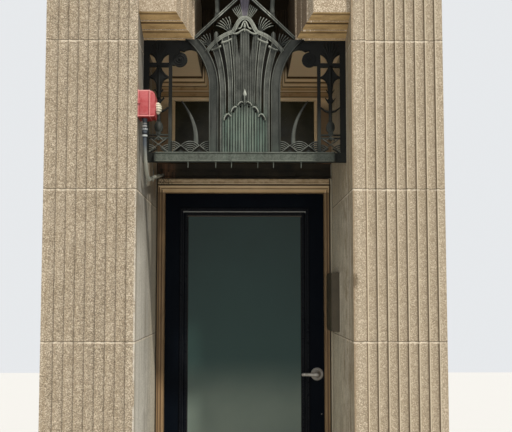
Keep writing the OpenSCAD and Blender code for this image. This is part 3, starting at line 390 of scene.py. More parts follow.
def transomPaint():
    f = Finish("transomPaint", 0.6, 0, 0.25)
    f.start(f.noise(8, 5).ramp(0.35, 0.7), (0.036, 0.028, 0.015), (0.012, 0.01, 0.006))
    streak = f.noise(60, 4, 0.7, 1, 0.05).ramp(0.4, 0.6)
    f.lay(f.axis("X").ramp(-0.43, -0.47) * streak, (0.17, 0.085, 0.045))
    return f.done(f.noise(120, 4), 0.3, 0.001)


def weatheredBronze(name, cast, high, shade=True, patina=1):
    f = Finish(name, 0.6, 0.15, 0.22)
    x, z = abs(f.axis("X")), f.axis("Z")
    cloud, speck = f.noise(14, 6, 0.65), f.noise(260, 3, 0.7)
    run = f.noise(46, 4, 0.6, 1, 0.07)
    f.start(cloud.ramp(0.35, 0.65), cast, high)
    plate = x.ramp(0.128, 0.115) * z.ramp(2.6, 2.44, smooth=True)
    low = plate.calc("MAXIMUM", z.ramp(2.46, 2.27, 0.55, smooth=True)) * patina
    f.lay(low * cloud.ramp(0.32, 0.6, 0.9, 0.25), (0.082, 0.122, 0.096))
    f.lay(low * run.ramp(0.5, 0.66, 0.45), (0.24, 0.265, 0.225))
    f.lay(run.ramp(0.47, 0.36, 0.6), (0.02, 0.024, 0.02))
    mottled = f.mix(f.noise(120, 5, 0.75).ramp(0.38, 0.62), (0.04, 0.045, 0.035), (0.12, 0.13, 0.108))
    f.lay(z.ramp(2.277, 2.275) * patina * 0.7, mottled)  # the bottom bar
    f.lay(speck.ramp(0.56, 0.7, 0.4), (0.24, 0.26, 0.22))
    f.lay(x.ramp(0.14, 0.146) * z.ramp(2.277, 2.279, 0.58), (0.018, 0.02, 0.018))  # the legs
    reeds = low * plate * z.ramp(2.277, 2.279) * (f.axis("Y") < -0.9015)
    slant = abs(f.facing("X"))
    verdigris = f.noise(30, 3, 0.5, 1, 0.1).ramp(0.4, 0.6)
    verdigris = f.mix(verdigris, (0.085, 0.13, 0.105), (0.235, 0.28, 0.22))
    f.lay(reeds * slant.ramp(0.3, 0.05, 0.5), verdigris)
    # painted shade on the reeds' sideways-turned faces
    f.lay(reeds * slant.ramp(0.35, 0.8, 0.85), (0.012, 0.02, 0.017))
    if shade:
        # painted shade on faces turned edgewise to the front, in the gaps and round the sides
        f.lay(abs(f.facing("Y")).ramp(0.55, 0.2, 0.82), (0.008, 0.009, 0.008))
        # painted shade over the upper outer parts of the grille, under the head stones
        darkAndShade = x.ramp(0.265, 0.31, smooth=True) * z.ramp(2.42, 2.56, smooth=True) * z.ramp(2.91, 2.9)
        f.lay(darkAndShade * 0.95, (0.004, 0.0045, 0.004))
        # painted shadow at the grille's outer ends, beside the piers
        f.lay(x.ramp(0.482, 0.496, 0.88), (0.006, 0.006, 0.005))
    return f.done(speck + cloud, 0.4, 0.0012)


def doorGlass():
    f = Finish("doorGlass", 0.05, 0, 0.22)
    z = f.axis("Z")
    # the glass is painted lighter low down, a painted reflection of the pale ground
    f.start(z.ramp(2, 1.2), (0.02, 0.045, 0.038), (0.028, 0.062, 0.054))
    f.lay(z.ramp(1.12, 0.75, smooth=True), (0.17, 0.215, 0.18))
    f.lay(f.noise(2.2, 3).ramp(0.35, 0.7, 0.3), (0.03, 0.07, 0.066))
    f.lay(f.noise(300, 3, 0.7).ramp(0.62, 0.75, 0.25), (0.12, 0.14, 0.13))
    f.feed("Roughness", f.noise(12, 4).ramp(0.3, 0.7, 0.12, 0.04))
    return f.done()


def darkGlass():
    f = Finish("windowGlass", 0.12, 0, 0.22)
    f.start(f.noise(4, 3).ramp(0.3, 0.7), (0.014, 0.013, 0.006), (0.052, 0.047, 0.024))
    dirt = f.noise(60, 5, 0.7)
    f.lay(dirt.ramp(0.55, 0.75, 0.5), (0.05, 0.04, 0.022))
    f.feed("Roughness", dirt.ramp(0.3, 0.7, 0.3, 0.1))
    return f.done()


def redPlastic():
    f = Finish("fadedRedPlastic", 0.45, 0, 0.4)
    x, z, edgeHighlight = abs(f.axis("X")), f.axis("Z"), (0.72, 0.32, 0.3)
    f.start(f.noise(30, 5, 0.7).ramp(0.4, 0.65), (0.37, 0.05, 0.052), (0.44, 0.1, 0.1))
    f.lay(z.ramp(2.5, 2.57, 0.35), (0.6, 0.2, 0.2))
    # painted highlights along the front's edges, and painted shade in the seam
    for value, centre, half, colour in ((x, 0.5, 0.0018, (0.07, 0.006, 0.006)), (x, 0.4965, 0.0018, edgeHighlight),
                                        (x, 0.5575, 0.0025, edgeHighlight), (z, 2.564, 0.003, (0.75, 0.36, 0.33)),
                                        (z, 2.4305, 0.0024, (0.72, 0.3, 0.28))):
        f.lay(value.line(centre, half, 0.8), colour)
    f.lay(f.facing("Z").ramp(-0.4, -0.8), (0.24, 0.008, 0.006))
    return f.done(f.noise(160, 2), 0.1, 0.0006)


def dullMetal(name, base, worn, roughness, metallic=0.8):
    f = Finish(name, roughness, metallic)
    f.start(f.noise(60, 5, 0.6).ramp(0.35, 0.65), base, worn)
    f.lay(f.noise(240, 3, 0.7).ramp(0.58, 0.7, 0.4), worn)
    return f.done(f.noise(300, 2), 0.1, 0.0004)


lensLines = [("Z", z, 0.0022, (0.14, 0.14, 0.09)) for z in (2.461, 2.4735, 2.4865, 2.4985)]
# the wide band at 2.13 is a painted highlight on the conduit's lower bend
conduitLines = (
    ("Z", 2.13, 0.12, (0.42, 0.42, 0.35)), ("Z", 2.397, 0.004, (0.4, 0.4, 0.38)),
    ("Z", 2.384, 0.0045, (0.7, 0.7, 0.66)), ("Z", 2.3765, 0.003, (0.01, 0.01, 0.01)),
    ("Z", 2.368, 0.005, (0.4, 0.42, 0.42)), ("Z", 2.343, 0.005, (0.015, 0.015, 0.018)),
    ("Z", 2.333, 0.005, (0.5, 0.52, 0.5)),
)
finishes = {
    "pier_stone": pierStone(),
    "head_stone": headStone(),
    "frame_paint": framePaint(),
    "door_paint": agedPaint("blackDoorPaint", (0.0012, 0.0028, 0.0062), (0.004, 0.007, 0.012), 0.42,
                            0.4, 0.05, 0.05),
    "moulding_paint": agedPaint("blackMouldingPaint", (0.0015, 0.0025, 0.005), (0.01, 0.011, 0.013), 0.3,
                                0.35, 0.05, 0.08),
    "door_glass": doorGlass(),
    "window_glass": darkGlass(),
    "window_frame_paint": windowPaint(),
    "transom_paint": transomPaint(),
    "weathered_bronze": weatheredBronze("weatheredBronze", (0.04, 0.043, 0.037), (0.105, 0.11, 0.096)),
    "red_plastic": redPlastic(),
    "lens_plastic": agedPaint("lensPlastic", (0.72, 0.68, 0.53), (0.5, 0.48, 0.35), 0.3, 0.4, 0.03, 0.4,
                              lensLines),
    "conduit_metal": agedPaint("conduitZinc", (0.055, 0.065, 0.08), (0.13, 0.15, 0.165), 0.45, 0.6, 0.12, 0.3,
                               conduitLines),
    "dark_box_metal": agedPaint("darkBoxPaint", (0.062, 0.05, 0.029), (0.115, 0.088, 0.052), 0.5, 0.6),
    "threshold_metal": dullMetal("thresholdMetal", (0.2, 0.2, 0.19), (0.1, 0.1, 0.09), 0.5),
    "furniture_metal": dullMetal("furnitureMetal", (0.4, 0.38, 0.35), (0.27, 0.25, 0.22), 0.45, 0.5),
}
extras = {
    "purpleTin": weatheredBronze("purpleTin", (0.1, 0.09, 0.115), (0.16, 0.145, 0.17), False),
    # pale bronze on the raised beads, lighter than the cast as a painted highlight
    "paleHighlightBronze": weatheredBronze("paleHighlightBronze", (0.26, 0.275, 0.235), (0.46, 0.48, 0.42), False, 0.1),
    # a lighter bronze on the yoke, edge beads and leaves, a painted highlight, with the shade flag's painted
    # shade too
    "midHighlightBronze": weatheredBronze("midHighlightBronze", (0.13, 0.138, 0.118), (0.24, 0.25, 0.215), True, 0.7),
    # near-black bronze for painted shadows under the arches
    "shadowBronze": weatheredBronze("shadowBronze", (0.004, 0.005, 0.004), (0.008, 0.009, 0.008), True, 0),
    "darkBronze": weatheredBronze("darkBronze", (0.014, 0.016, 0.013), (0.035, 0.038, 0.032), True, 0.15),
    "satinSteel": dullMetal("satinSteel", (0.62, 0.6, 0.56), (0.4, 0.38, 0.34), 0.35, 0.35),
    "mastic": agedPaint("darkMastic", (0.03, 0.024, 0.016), (0.08, 0.065, 0.045), 0.8, 0.5, 0.3, 0.2,
                        [("X", 0.556, 0.02, (0.42, 0.38, 0.3))]),
    "gasket": agedPaint("greyGasket", (0.012, 0.013, 0.014), (0.03, 0.03, 0.028), 0.7, 0.5, 0.2, 0.1,
                        [("Z", 2.006, 0.008, (0.1, 0.09, 0.075))]),
    # the moulding nose's paint, worn, with a painted highlight line along its top
    "edgeWearAndSheen": agedPaint("mouldingEdgeWearAndSheen", (0.006, 0.008, 0.011), (0.02, 0.022, 0.026), 0.35, 0.6,
                          0.05, 0.15, [("Z", 2.034, 0.01, (0.42, 0.43, 0.42))]),
}

# the solids that are cast, painted or worn get their arrises eased, by so many millimetres
softEdges = {
    1: ("top_rail", "bottom_rail"), 1.2: ("frame_",), 1.6: ("grille_",), 2: ("left_pier", "right_pier"),
    1.5: ("hinge_stile", "latch_stile", "transom_rail", "threshold"), 2.5: ("reveal_box",),
    3: ("alarm_horn", "left_head_stone", "right_head_stone", "slot_lintel"), 4: ("alarm_back_box",),
}
flattest = radians(50)  # edges that turn less stay as they are
for part in frame["record"]["subparts"]:
    node = cadNodes[part["node"]]
    for materialSlot in node.material_slots:
        materialSlot.material = finishes[part["material_slot"]]
    for width, starts in softEdges.items():
        if part["node"].startswith(starts):
            ease = node.modifiers.new("easedEdges", "BEVEL")
            ease.width = width * 0.001
            ease.segments = 2
            ease.limit_method = "ANGLE"
            ease.angle_limit = flattest
cadNodes["lever_handle"].material_slots[0].material = extras["satinSteel"]
for name in ("grille_fans", "grille_left_waves", "grille_right_waves"):
    cadNodes[name].material_slots[0].material = extras["darkBronze"]
print("finishes set")


# mesh helpers, all in millimetres; they draw into one work mesh, emptied after each piece
work = bmesh.new()


def curve(p0, p1, p2, p3, n):
    line = []
    for i in range(n + 1):
        t = i / n
        line.append(tuple((1 - t) ** 3 * a + 3 * t * (1 - t) ** 2 * b + 3 * t * t * (1 - t) * c + t ** 3 * d
                          for a, b, c, d in zip(p0, p1, p2, p3)))
    return line


def polar(centre, radius, angle):
    a = radians(angle)
    return centre[0] + radius * cos(a), centre[1] + radius * sin(a)


def arcLine(centre, radius, start, end, n, endRadius=None):
    swell = (endRadius or radius) - radius
    return [polar(centre, radius + swell * i / n, start + (end - start) * i / n) for i in range(n + 1)]


def mirrored(line):
    return [(-x, z) for x, z in reversed(line)]


def shifted(line, offset):
    moved = []
    for i, (x, z) in enumerate(line):
        a, b = line[max(i - 1, 0)], line[min(i + 1, len(line) - 1)]
        dx, dz = b[0] - a[0], b[1] - a[1]
        length = hypot(dx, dz)
        moved.append((x - dz / length * offset, z + dx / length * offset))
    return moved


def loft(rings, caps=True):
    rows = [[work.verts.new(p) for p in ring] for ring in rings]
    count = len(rows[0])
    for a, b in zip(rows, rows[1:]):
        for i in range(count):
            j = (i + 1) % count
            work.faces.new((a[i], a[j], b[j], b[i]))
    if caps:
        work.faces.new(rows[0][::-1])
        work.faces.new(rows[-1])


def pointAt(line, lengths, s):
    for i in range(1, len(line)):
        if s <= lengths[i] or i == len(line) - 1:
            t = (s - lengths[i - 1]) / max(lengths[i] - lengths[i - 1], 1e-9)
            return [p + (q - p) * t for p, q in zip(line[i - 1], line[i])]


def bead(line, width, y, rise, endWidth=None, root=2, sides=7):
    # a half-round strip with rounded ends that follows (x, z) points and stands on a face at y
    lengths = [0]
    for a, b in zip(line, line[1:]):
        lengths.append(lengths[-1] + dist(a, b))
    total = lengths[-1]
    last = width if endWidth is None else endWidth
    tips = (min(width * 0.5, total * 0.3), min(max(last, 1) * 0.5, total * 0.3))
    stops = {s for s in lengths if tips[0] < s < total - tips[1]}
    for share in (0.02, 0.15, 0.45, 1):
        stops |= {tips[0] * share, total - tips[1] * share}
    shares = [-cos(pi * k / sides) for k in range(sides + 1)]
    rings = []
    for s in sorted(stops):
        x, z = pointAt(line, lengths, s)
        a, b = pointAt(line, lengths, max(s - 0.5, 0)), pointAt(line, lengths, min(s + 0.5, total))
        dx, dz = b[0] - a[0], b[1] - a[1]
        length = hypot(dx, dz) or 1
        near = min(s / tips[0], (total - s) / tips[1], 1)
        shape = sqrt(max(1 - (1 - near) ** 2, 0.02))
        full = width + (last - width) * s / total
        half = full * 0.5 * shape
        high = rise * min(shape, 0.35 + 0.65 * full / width)
        section = [(u, -high * sqrt(max(1 - u * u, 0))) for u in shares] + [(1, root), (-1, root)]
        rings.append([(x - dz / length * half * u, y + v, z + dx / length * half * u) for u, v in section])
    loft(rings)


def twin(line, *shape, **more):
    bead(line, *shape, **more)
    bead(mirrored(line), *shape, **more)


def turned(centre, axis, profile, steps, turn=0, out=1):
    # profile: (distance along the axis, radius) pairs; six steps give a hexagon
    rings = []
    for along, radius in profile:
        ring = []
        for k in range(steps):
            a = 2 * pi * (k + turn) / steps
            u, v = radius * cos(a), radius * sin(a)
            offset = {"x": (along * out, u, v), "y": (v, along * out, u), "z": (u, v, along * out)}[axis]
            ring.append(tuple(c + o for c, o in zip(centre, offset)))
        rings.append(ring)
    loft(rings)


def slab(low, high, edge):
    verts = bmesh.ops.create_cube(work, size=1)["verts"]
    for vert in verts:
        vert.co = Vector([(a + b) * 0.5 + c * (b - a) for a, b, c in zip(low, high, vert.co)])
    edges = list({e for v in verts for e in v.link_edges})
    bmesh.ops.bevel(work, geom=edges, offset=edge, segments=2, profile=0.6, affect="EDGES",
                    clamp_overlap=True)


def ringBead(outline, inset, section):
    # a mitred frame inside an outline (half width, low, high); section: (distance in, y) points
    half, low, high = outline
    rings = []
    for sx, sz, z in ((1, 1, low + inset), (-1, 1, low + inset), (-1, -1, high - inset),
                      (1, -1, high - inset)):
        rings.append([(sx * (inset - half) + sx * d, y, z + sz * d) for d, y in section])
    loft(rings + rings[:1], False)
    bmesh.ops.remove_doubles(work, verts=work.verts, dist=0.001)


def screw(centre, axis, out, radius):
    high = radius * 0.45
    profile = ((-high, radius), (0, radius), (high * 0.7, radius * 0.85), (high, radius * 0.55),
               (high, radius * 0.28), (high * 0.35, radius * 0.24), (high * 0.3, 0.05))
    turned(centre, axis, profile, 14, out=out)


def newMesh(name, material):
    data = bpy.data.meshes.new(name)
    work.to_mesh(data)
    work.clear()
    data.materials.append(material)
    return newObject(name, data)


creaseAngle = radians(42)  # sharper edges are shaded as edges


def finishPiece(name, slotName, body="surround", look=None):
    bmesh.ops.recalc_face_normals(work, faces=work.faces)
    bmesh.ops.scale(work, vec=(0.001, 0.001, 0.001), verts=work.verts)
    for edge in work.edges:
        edge.smooth = edge.calc_face_angle(0) < creaseAngle
    for face in work.faces:
        face.smooth = True
    piece = newMesh(name, extras[look] if look else finishes[slotName])
    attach(piece, body)


def castPiece(name, look=None):
    finishPiece(name, "weathered_bronze", look=look)


# grille: rounded castings over the flat bars; the same numbers as the solids they sit on
grille = {
    "frontY": -885, "beadY": -906, "barTop": 2276, "barLow": 2223, "soffit": 2906, "legIn": 144.5,
    "legW": 52.5, "legR": 397, "spring": 2634, "legRise": 272, "hoodZ": 40, "hoodH": 82,
    "slot": 279, "rise": 265, "plateH": 283.8, "flare": 66, "bend": 306, "wave": 67,
    "sideIn": 402, "innerBar": 18.5, "outerBar": 32, "half": 560, "panelX": 474.25,
    "panelHalf": 53.75, "scroll": (359.4, 2798.2),
}
face, raised = grille["frontY"] + 0.5, grille["beadY"]  # beads stand on the bars or on the castings
barTop, barLow, soffit = grille["barTop"], grille["barLow"], grille["soffit"]


def grilleYoke():
    x, z = grille["legIn"], soffit
    half = curve((x * 1.46, z - 70), (x * 1.2, z - 16), (x * 0.9, z + 22), (71.7, z + 40), 8)
    half += curve((62.7, z + 48), (42.2, z + 84), (32, z + 122), (0, z + 122), 10)
    bead(half + mirrored(half)[1:], 22.5, raised + 3.5, 10.5, sides=10)
    twin([(79, 2929), (62, 2961)], 9.5, raised - 1, 8)  # collars where the arms meet the hood
    castPiece("yokeCasting", "midHighlightBronze")

    for offset in (-8.6, 8.6):
        twin(shifted(half, offset), 5, raised + 1.5, 7.5)
    castPiece("yokeEdges", "paleHighlightBronze")


def ribCaps():
    for line in (
        [(1, 2964), (20.5, 2954), (34, 2944), (48, 2938), (62, 2938), (77, 2943)],
        [(71, 2910), (84, 2902), (100, 2895), (115, 2890), (131, 2887)],
        [(131, 2870), (143, 2861), (157, 2853), (170, 2848), (186, 2846)],
    ):
        twin(line, 8.5, raised, 9, root=14)
    bead([(0, 2967), (0, 2948)], 9, raised - 2, 7, 5)
    castPiece("scallopedCaps", "paleHighlightBronze")


def flareLine(x, lean, over, start):
    g = grille
    line = [(x, start)]
    for i in range(13):
        t = i / 12 * (1 + over * g["hoodZ"] / g["bend"])
        point = (x + lean * g["flare"] * t * t, soffit + g["bend"] * (t - 1))
        if point[1] > start:
            line.append(point)
    return line


def ribBeads():
    g = grille
    for rib in ((106.5, 0.81, -0.3, 2487), (133.5, 0.98, -1.3, barTop), (67, 0.33, 0.85, 2538),
                (88, 0.57, 0.36, 2500), (55, 0.3, -0.05, 2543)):
        twin(flareLine(*rib), 6, raised + 1, 4.5)
    for share in (0.07, 0.93):
        radius = g["legR"] - g["legW"] * share
        end = degrees(asin(g["legRise"] / radius))
        line = [(g["legIn"] + g["legW"] * share, barTop)]
        for i in range(17):
            a = radians(end * i / 16)
            line.append((g["legIn"] + g["legR"] - radius * cos(a), g["spring"] + radius * sin(a)))
        twin(line, 6.4, raised + 1, 4.5)
    castPiece("ribEdgeBeads", "midHighlightBronze")


def hoodBell():
    z, h = soffit + grille["hoodZ"], grille["hoodH"]
    half = [(36, z + 21), (30, z + 21.5)]
    half += curve((25.6, z + 23), (14, z + 28), (14, z + 60.7), (0, z + 63), 8)
    bead(half + mirrored(half)[1:], 7, raised - 0.5, 6, root=8)
    bead([(0, z + h * share) for share in (0.66, 0.5, 0.3)], 5, raised, 7, 13, root=8)
    castPiece("hoodBell", "paleHighlightBronze")


def plateArches():
    for line in (
        [(114, 2450), (111, 2466), (100, 2481), (90, 2487), (82, 2482), (77.5, 2474), (71.5, 2473)],
        [(76, 2494), (69, 2512), (60, 2523), (50.5, 2527), (44, 2523)],
        [(39, 2533), (31, 2546), (20, 2554), (12.5, 2553.5), (8.5, 2547)],
    ):
        twin(line, 6.5, raised - 8, 8, root=10)
    z = barTop + grille["plateH"]
    bead([(0, z - 12), (0, z + 36)], 3.6, raised - 10, 5, root=6)
    bead([(0, z + 27), (0, z + 45), (0, z + 66)], 30, raised - 10, 6, 1.5, root=6)
    castPiece("plateArches", "paleHighlightBronze")

    # painted shadow: near-black strips in the hollow under each arch
    for line in (
        [(106, 2455), (102, 2467), (95, 2475), (87, 2474)], [(68, 2500), (62, 2510), (54, 2516), (48, 2514)],
        [(31, 2536), (26, 2543), (18, 2546), (13, 2543)], [(5.5, 2564), (5.5, 2586)],
    ):
        twin(line, 11, raised - 8.6, 1.6, 8, root=6)
    castPiece("archShadows", "shadowBronze")


def bladeLines(foot, len0, len1, a0, a1, count, bend):
    g = grille
    lines = []
    for i in range(count):
        a = a0 + (a1 - a0) * i / (count - 1)
        length = len0 + (len1 - len0) * i / (count - 1)
        points = [polar(foot, length * s, d) for s, d in ((0.4, a + bend), (0.75, a + bend / 2), (1, a))]
        line = curve(foot, *points, 12)
        # what would stand over the sloping rail is left off
        lines.append([(x, z) for x, z in line if z < soffit + g["rise"] * (1 - abs(x) / g["slot"]) - 1])
    return lines


def fanBlades():
    def blades(line, *shape, **more):  # on both sides, wider at the tips
        for run in (line, [(-x, z) for x, z in line]):
            bead(run, *shape, **more)

    for fan in (((83.2, 2946), 88.6, 95.1, 30, 86, 6, 18), ((193.6, 2866), 73.8, 80.4, 22, 88, 6, 14)):
        for i, line in enumerate(bladeLines(*fan)):
            blades(line[3 + i % 2 * 2:], 2.6, face, 4, 4.6)
    for i in range(5):  # the uppermost fans stand on the crown of the hood
        root, tip = (12 + 4.6 * i, 3034 - 2.2 * i), (30 + 9.5 * i, 3111 - 6.6 * i)
        line = curve(root, (root[0] + 2 + i, root[1] + 24), (tip[0] - 9 - i, tip[1] - 30), tip, 8)
        blades(line, 2.4, face, 4, 4, root=10)
    castPiece("fanBlades", "paleHighlightBronze")

    for x in (-9.5, 0, 9.5):
        bead([(x * 0.8, 3030), (x * 1.9, 3146)], 10, face, 4, 19)
    castPiece("fanCentre", "purpleTin")


def railBeads():
    g = grille
    angle = atan2(g["rise"], g["slot"])
    for offset in (-5.4, 5.4):
        dx, dz = offset * sin(angle), offset * cos(angle)
        low = (g["slot"] - 3 + dx, soffit + 14.7 + dz)
        high = (0.5, soffit + g["rise"] + 11.7 + offset / cos(angle))
        twin([low, high], 5.2, face - 5, 3)
    castPiece("railBeads", "paleHighlightBronze")

    twin(curve((157.6, 3060), (150, 3085), (162.4, 3172.4), (162.4, 3346), 12), 21, face, 6)
    twin([(158.8, 2888), (158.8, 2956)], 17, face, 4, 12)
    castPiece("upperBarBeads", "midHighlightBronze")


def scrolls():
    hub = grille["scroll"]
    stem = arcLine((301.7, 2792), 67.5, 170, 62, 12) + arcLine(hub, 54, 118, 84, 4)
    twin(stem, 9, face, 4.5, 7)
    twin(arcLine(hub, 36, 118, -700, 64, 6), 7.5, face, 5, 4)
    twin([(218, 2893), (300, 2895), (396, 2893)], 9, face, 4)
    for x in (hub[0], -hub[0]):
        profile = ((2, 7.5), (-3, 7.5), (-6.5, 5.5), (-8, 2.5), (-8.4, 0.05))
        turned((x, grille["frontY"], hub[1]), "y", profile, 18)
    castPiece("scrollRelief")


def sideOrnament():
    mid, u = grille["panelX"], grille["panelHalf"]

    def stroke(t, points, *shape):
        twin([(mid + t * x * u, soffit + z) for x, z in points], *shape)

    stroke(1, [(0, -148), (0, -200), (0, -330)], 22, face - 2, 7.5, 9)
    stroke(1, [(0, -340), (0, -452)], 17, face, 7.5, 13)
    for t, top in ((0, -8), (0.38, -9), (-0.38, -9), (0.76, -22), (-0.76, -22)):  # palm head
        stroke(t, [(0.1, -132), (0.3, -84), (0.72, -44), (1, top)], 8, face, 5, 16)
    for t in (0.86, -0.86):
        stroke(t, [(0.15, -134), (0.45, -96), (0.8, -76), (1, -62)], 6, face, 5, 11)
        stroke(t, [(0.1, -152), (0.4, -176), (0.75, -197), (1.08, -207)], 13, face, 5.5, 6)
        stroke(t, [(0.2, -262), (0.28, -236), (0.52, -217), (1, -209)], 9, face, 5, 5)
        stroke(t, [(0.15, -352), (0.34, -340), (0.62, -322)], 10, face, 5, 2.5, 12)
        stroke(t, [(0.12, -300), (0.3, -290), (0.5, -276)], 8, face, 5, 2.5, 12)
        stroke(t, [(0, -403), (0.6, -397), (1.14, -377)], 11, face, 5, 6)
    collar = ((-168, 7), (-165, 15), (-158, 16), (-155, 9), (-150, 9), (-146, 16), (-140, 15), (-137, 7))
    vase = ((-444, 8), (-450, 11), (-456, 8), (-462, 12), (-472, 17.5), (-486, 20.5), (-500, 19.5),
            (-509, 14), (-514, 8), (-518, 8), (-520, 13), (-529, 13), (-532, 7), (-548, 6))
    for x in (mid, -mid):
        turned((x, -875, soffit), "z", collar, 20)
        turned((x, -875, soffit), "z", vase, 24)
    castPiece("sideOrnament")


def lowerLights():
    g = grille
    low = barTop - 2.75  # the arcs' centres lie a little under the bar's top

    def arcs(x, start, end, count, radius, n, clear, *shape):
        for k in range(count):
            run = [p for p in arcLine((x, low), radius - 11 * k, start, end, n) if p[1] > barTop + clear]
            if len(run) > 2:
                twin(run, *shape)

    left, right = g["sideIn"] + g["innerBar"], g["half"] - g["outerBar"]
    mid = (left + right) / 2
    arcs(left, 88, 33, 4, 46.7, 10, 1, 4.6, face, 4.5)
    arcs(right, 92, 147, 4, 46.7, 10, 1, 4.6, face, 4.5)
    for line in (
        [(left, barTop + 2), (mid, barTop + 48), (right, barTop + 2)],
        [(mid - 43, barTop + 77.4), (mid, barTop + 45.2), (mid + 43, barTop + 77.4)],
        [(mid - 24, barTop + 70), (mid, barTop + 90), (mid + 24, barTop + 70)],
    ):
        twin(line, 5.2, face, 5, root=12)
    legOut, front = g["legIn"] + g["legW"], face - 8
    waveMid = (legOut + g["sideIn"]) / 2
    for x, start, end in ((waveMid, 139, 41), (legOut, 89, 41), (g["sideIn"], 139, 91)):
        arcs(x, start, end, 6, 64.25, 12, 0.5, 4.8, front, 4.5)
        for angle in (40, 140):
            if (x, angle) not in ((g["sideIn"], 40), (legOut, 140)):  # none runs into the frames
                foot = (x + 6 * cos(radians(angle)), barTop + 1)
                twin([foot, polar((x, low), g["wave"], angle)], 5.4, front - 0.5, 5)
    castPiece("waveArcs", "paleHighlightBronze")

    r = g["wave"]
    leaf = curve(*((waveMid + r * across, barTop + r * up)
                   for across, up in ((-0.45, 0.6), (-0.62, 2.3), (0.1, 3.4), (0.72, 4.3))), 14)
    bead(leaf, 27.5, face, 7.5, 6.5, sides=8)
    bead(mirrored(leaf), 6.5, face, 2.2, 27.5, sides=8)
    castPiece("reedLeaves", "midHighlightBronze")


def barDetails():
    for x in (-310, 310, -158, 158, -72, 72):  # tenons of the uprights, riveted under the bar
        turned((x, -899, barLow), "z", [(2, 4.5), (-3, 4.5), (-5, 3.2), (-30, 2.6), (-34, 0.8)], 10)
    bead([(-496, barTop - 3), (496, barTop - 3)], 6.5, -914, 2.6)
    bead([(-496, barLow + 5), (496, barLow + 5)], 6, -910.5, 2.4)
    castPiece("barBeads", "midHighlightBronze")


for build in (grilleYoke, ribCaps, ribBeads, hoodBell, plateArches, fanBlades, railBeads, scrolls,
              sideOrnament, lowerLights, barDetails):
    build()
print("grille castings built")


# door, its frame and the fittings on it
door = {
    "moulding": (416, 268, 2055), "beadW": 48, "nose": 20, "leverX": 462, "leverZ": 995,
    "screwX": 404, "screwZ": (330, 620, 910, 1205, 1496, 1790, 2040), "railScrewX": (-330, -110, 110, 330),
    "railScrewZ": (2046, 277), "latchScrewZ": (955, 1088, 1022),
}


def doorTrim():
    d = door
    # rounded nose of the glazing moulding, with a painted highlight line along its top
    section = ((0, 25), (0.8, 18.6), (2.6, 15.6), (4.8, 15.6), (6.8, 18.6), (8, 25))
    ringBead(d["moulding"], d["nose"], section)
    finishPiece("mouldingNose", "moulding_paint", "door", "edgeWearAndSheen")

    # rubber gaskets that hold the glass, outside and inside
    section = ((0, -1), (0, 4.2), (2, 5), (5.5, 3.6), (7.5, 0.2), (7.5, -1))
    for y, out in ((36.3, -1), (48.7, 1)):
        ringBead(d["moulding"], d["beadW"] - 0.5, [(u, y + out * v) for u, v in section])
    finishPiece("glassGasket", "moulding_paint", "door", "gasket")

    # screws of the moulding, then of the latch
    places = [(x, z) for x in (-d["screwX"], d["screwX"]) for z in d["screwZ"]]
    for x, z in places + [(x, z) for x in d["railScrewX"] for z in d["railScrewZ"]]:
        screw((x, 12, z), "y", -1, 3.2)
    finishPiece("mouldingScrews", "moulding_paint", "door")

    screw((491, 20, 744), "y", -1, 4)
    for z in d["latchScrewZ"]:
        screw((519.9, 42.5, z), "x", 1, 3)
    finishPiece("latchScrews", "furniture_metal", "door")


def frameTrim():
    twin([(557.5, 14), (557.5, 2232)], 7, -64.5, 4)
    twin([(556, 2236), (556, 2334)], 7, -33.5, 4)
    bead([(-552, 2234.5), (552, 2234.5)], 6, -62, 2.4)
    finishPiece("masticJoints", "frame_paint", look="mastic")

    # small quirk beads on the fasciae's edges
    for x, top, width, y, rise in ((545.6, 2198, 4.6, -64.6, 2.2), (528.2, 2174, 4.6, -57.6, 2.2),
                                   (511.2, 2149, 5, -50.6, 2.4)):
        twin([(x, 14), (x, top)], width, y, rise)
    for half, z, y in ((545, 2198.4, -64.6), (528, 2174, -57.6), (512, 2149.8, -50.6)):
        bead([(-half, z), (half, z)], 4.6, y, 2.2)
    finishPiece("fasciaBeads", "frame_paint")


def leverTrim():
    x, z = door["leverX"], door["leverZ"]
    rim = ((-2, 38.5), (0.5, 38.5), (2.4, 36.5), (2.8, 34), (1.6, 31.5), (-2, 31))
    neck = ((-1, 24), (2, 24), (5, 21), (6, 17.5), (9, 15), (9, 10.6))
    for y, out in ((10, -1), (75, 1)):
        turned((x, y, z), "y", rim, 40, out=out)
        turned((x, y, z), "y", neck, 36, out=out)
        for dz in (-28, 28):
            screw((x, y, z + dz), "y", out, 3.6)
    finishPiece("roseRings", "furniture_metal", "door")

    cap = ((6, 10.4), (9, 9.4), (10.8, 7), (11.2, 5), (10.2, 4.8), (10.2, 0.05))
    for y, out in ((-36, -1), (121, 1)):
        turned((x, y, z), "y", cap, 28, out=out)
        turned((x, y - out * 16, z), "y", [(-10, 10.4), (-8, 13.2), (4, 12.6), (7, 10.4)], 28, out=out)
        turned((x - 91.5, y, z), "x", [(-4, 10.2), (-3, 10.9), (-1, 10.9), (0, 10.2)], 28)
    finishPiece("leverCollars", "furniture_metal", "lever")


doorTrim()
frameTrim()
leverTrim()
print("door and frame trimmed")


# window over the door; a bead has its share of the way over the moulding, its y and its width
window = {
    "half": 560, "lip": 201, "over": 78, "headZ": 2753, "headH": 153, "top": 3346, "glassX": 454,
    "beads": ((0.03, -4.6, 9), (0.14, -11.6, 6), (0.2, -18.6, 8), (0.585, -25.6, 9),
              (0.9, -32.6, 8)),
}


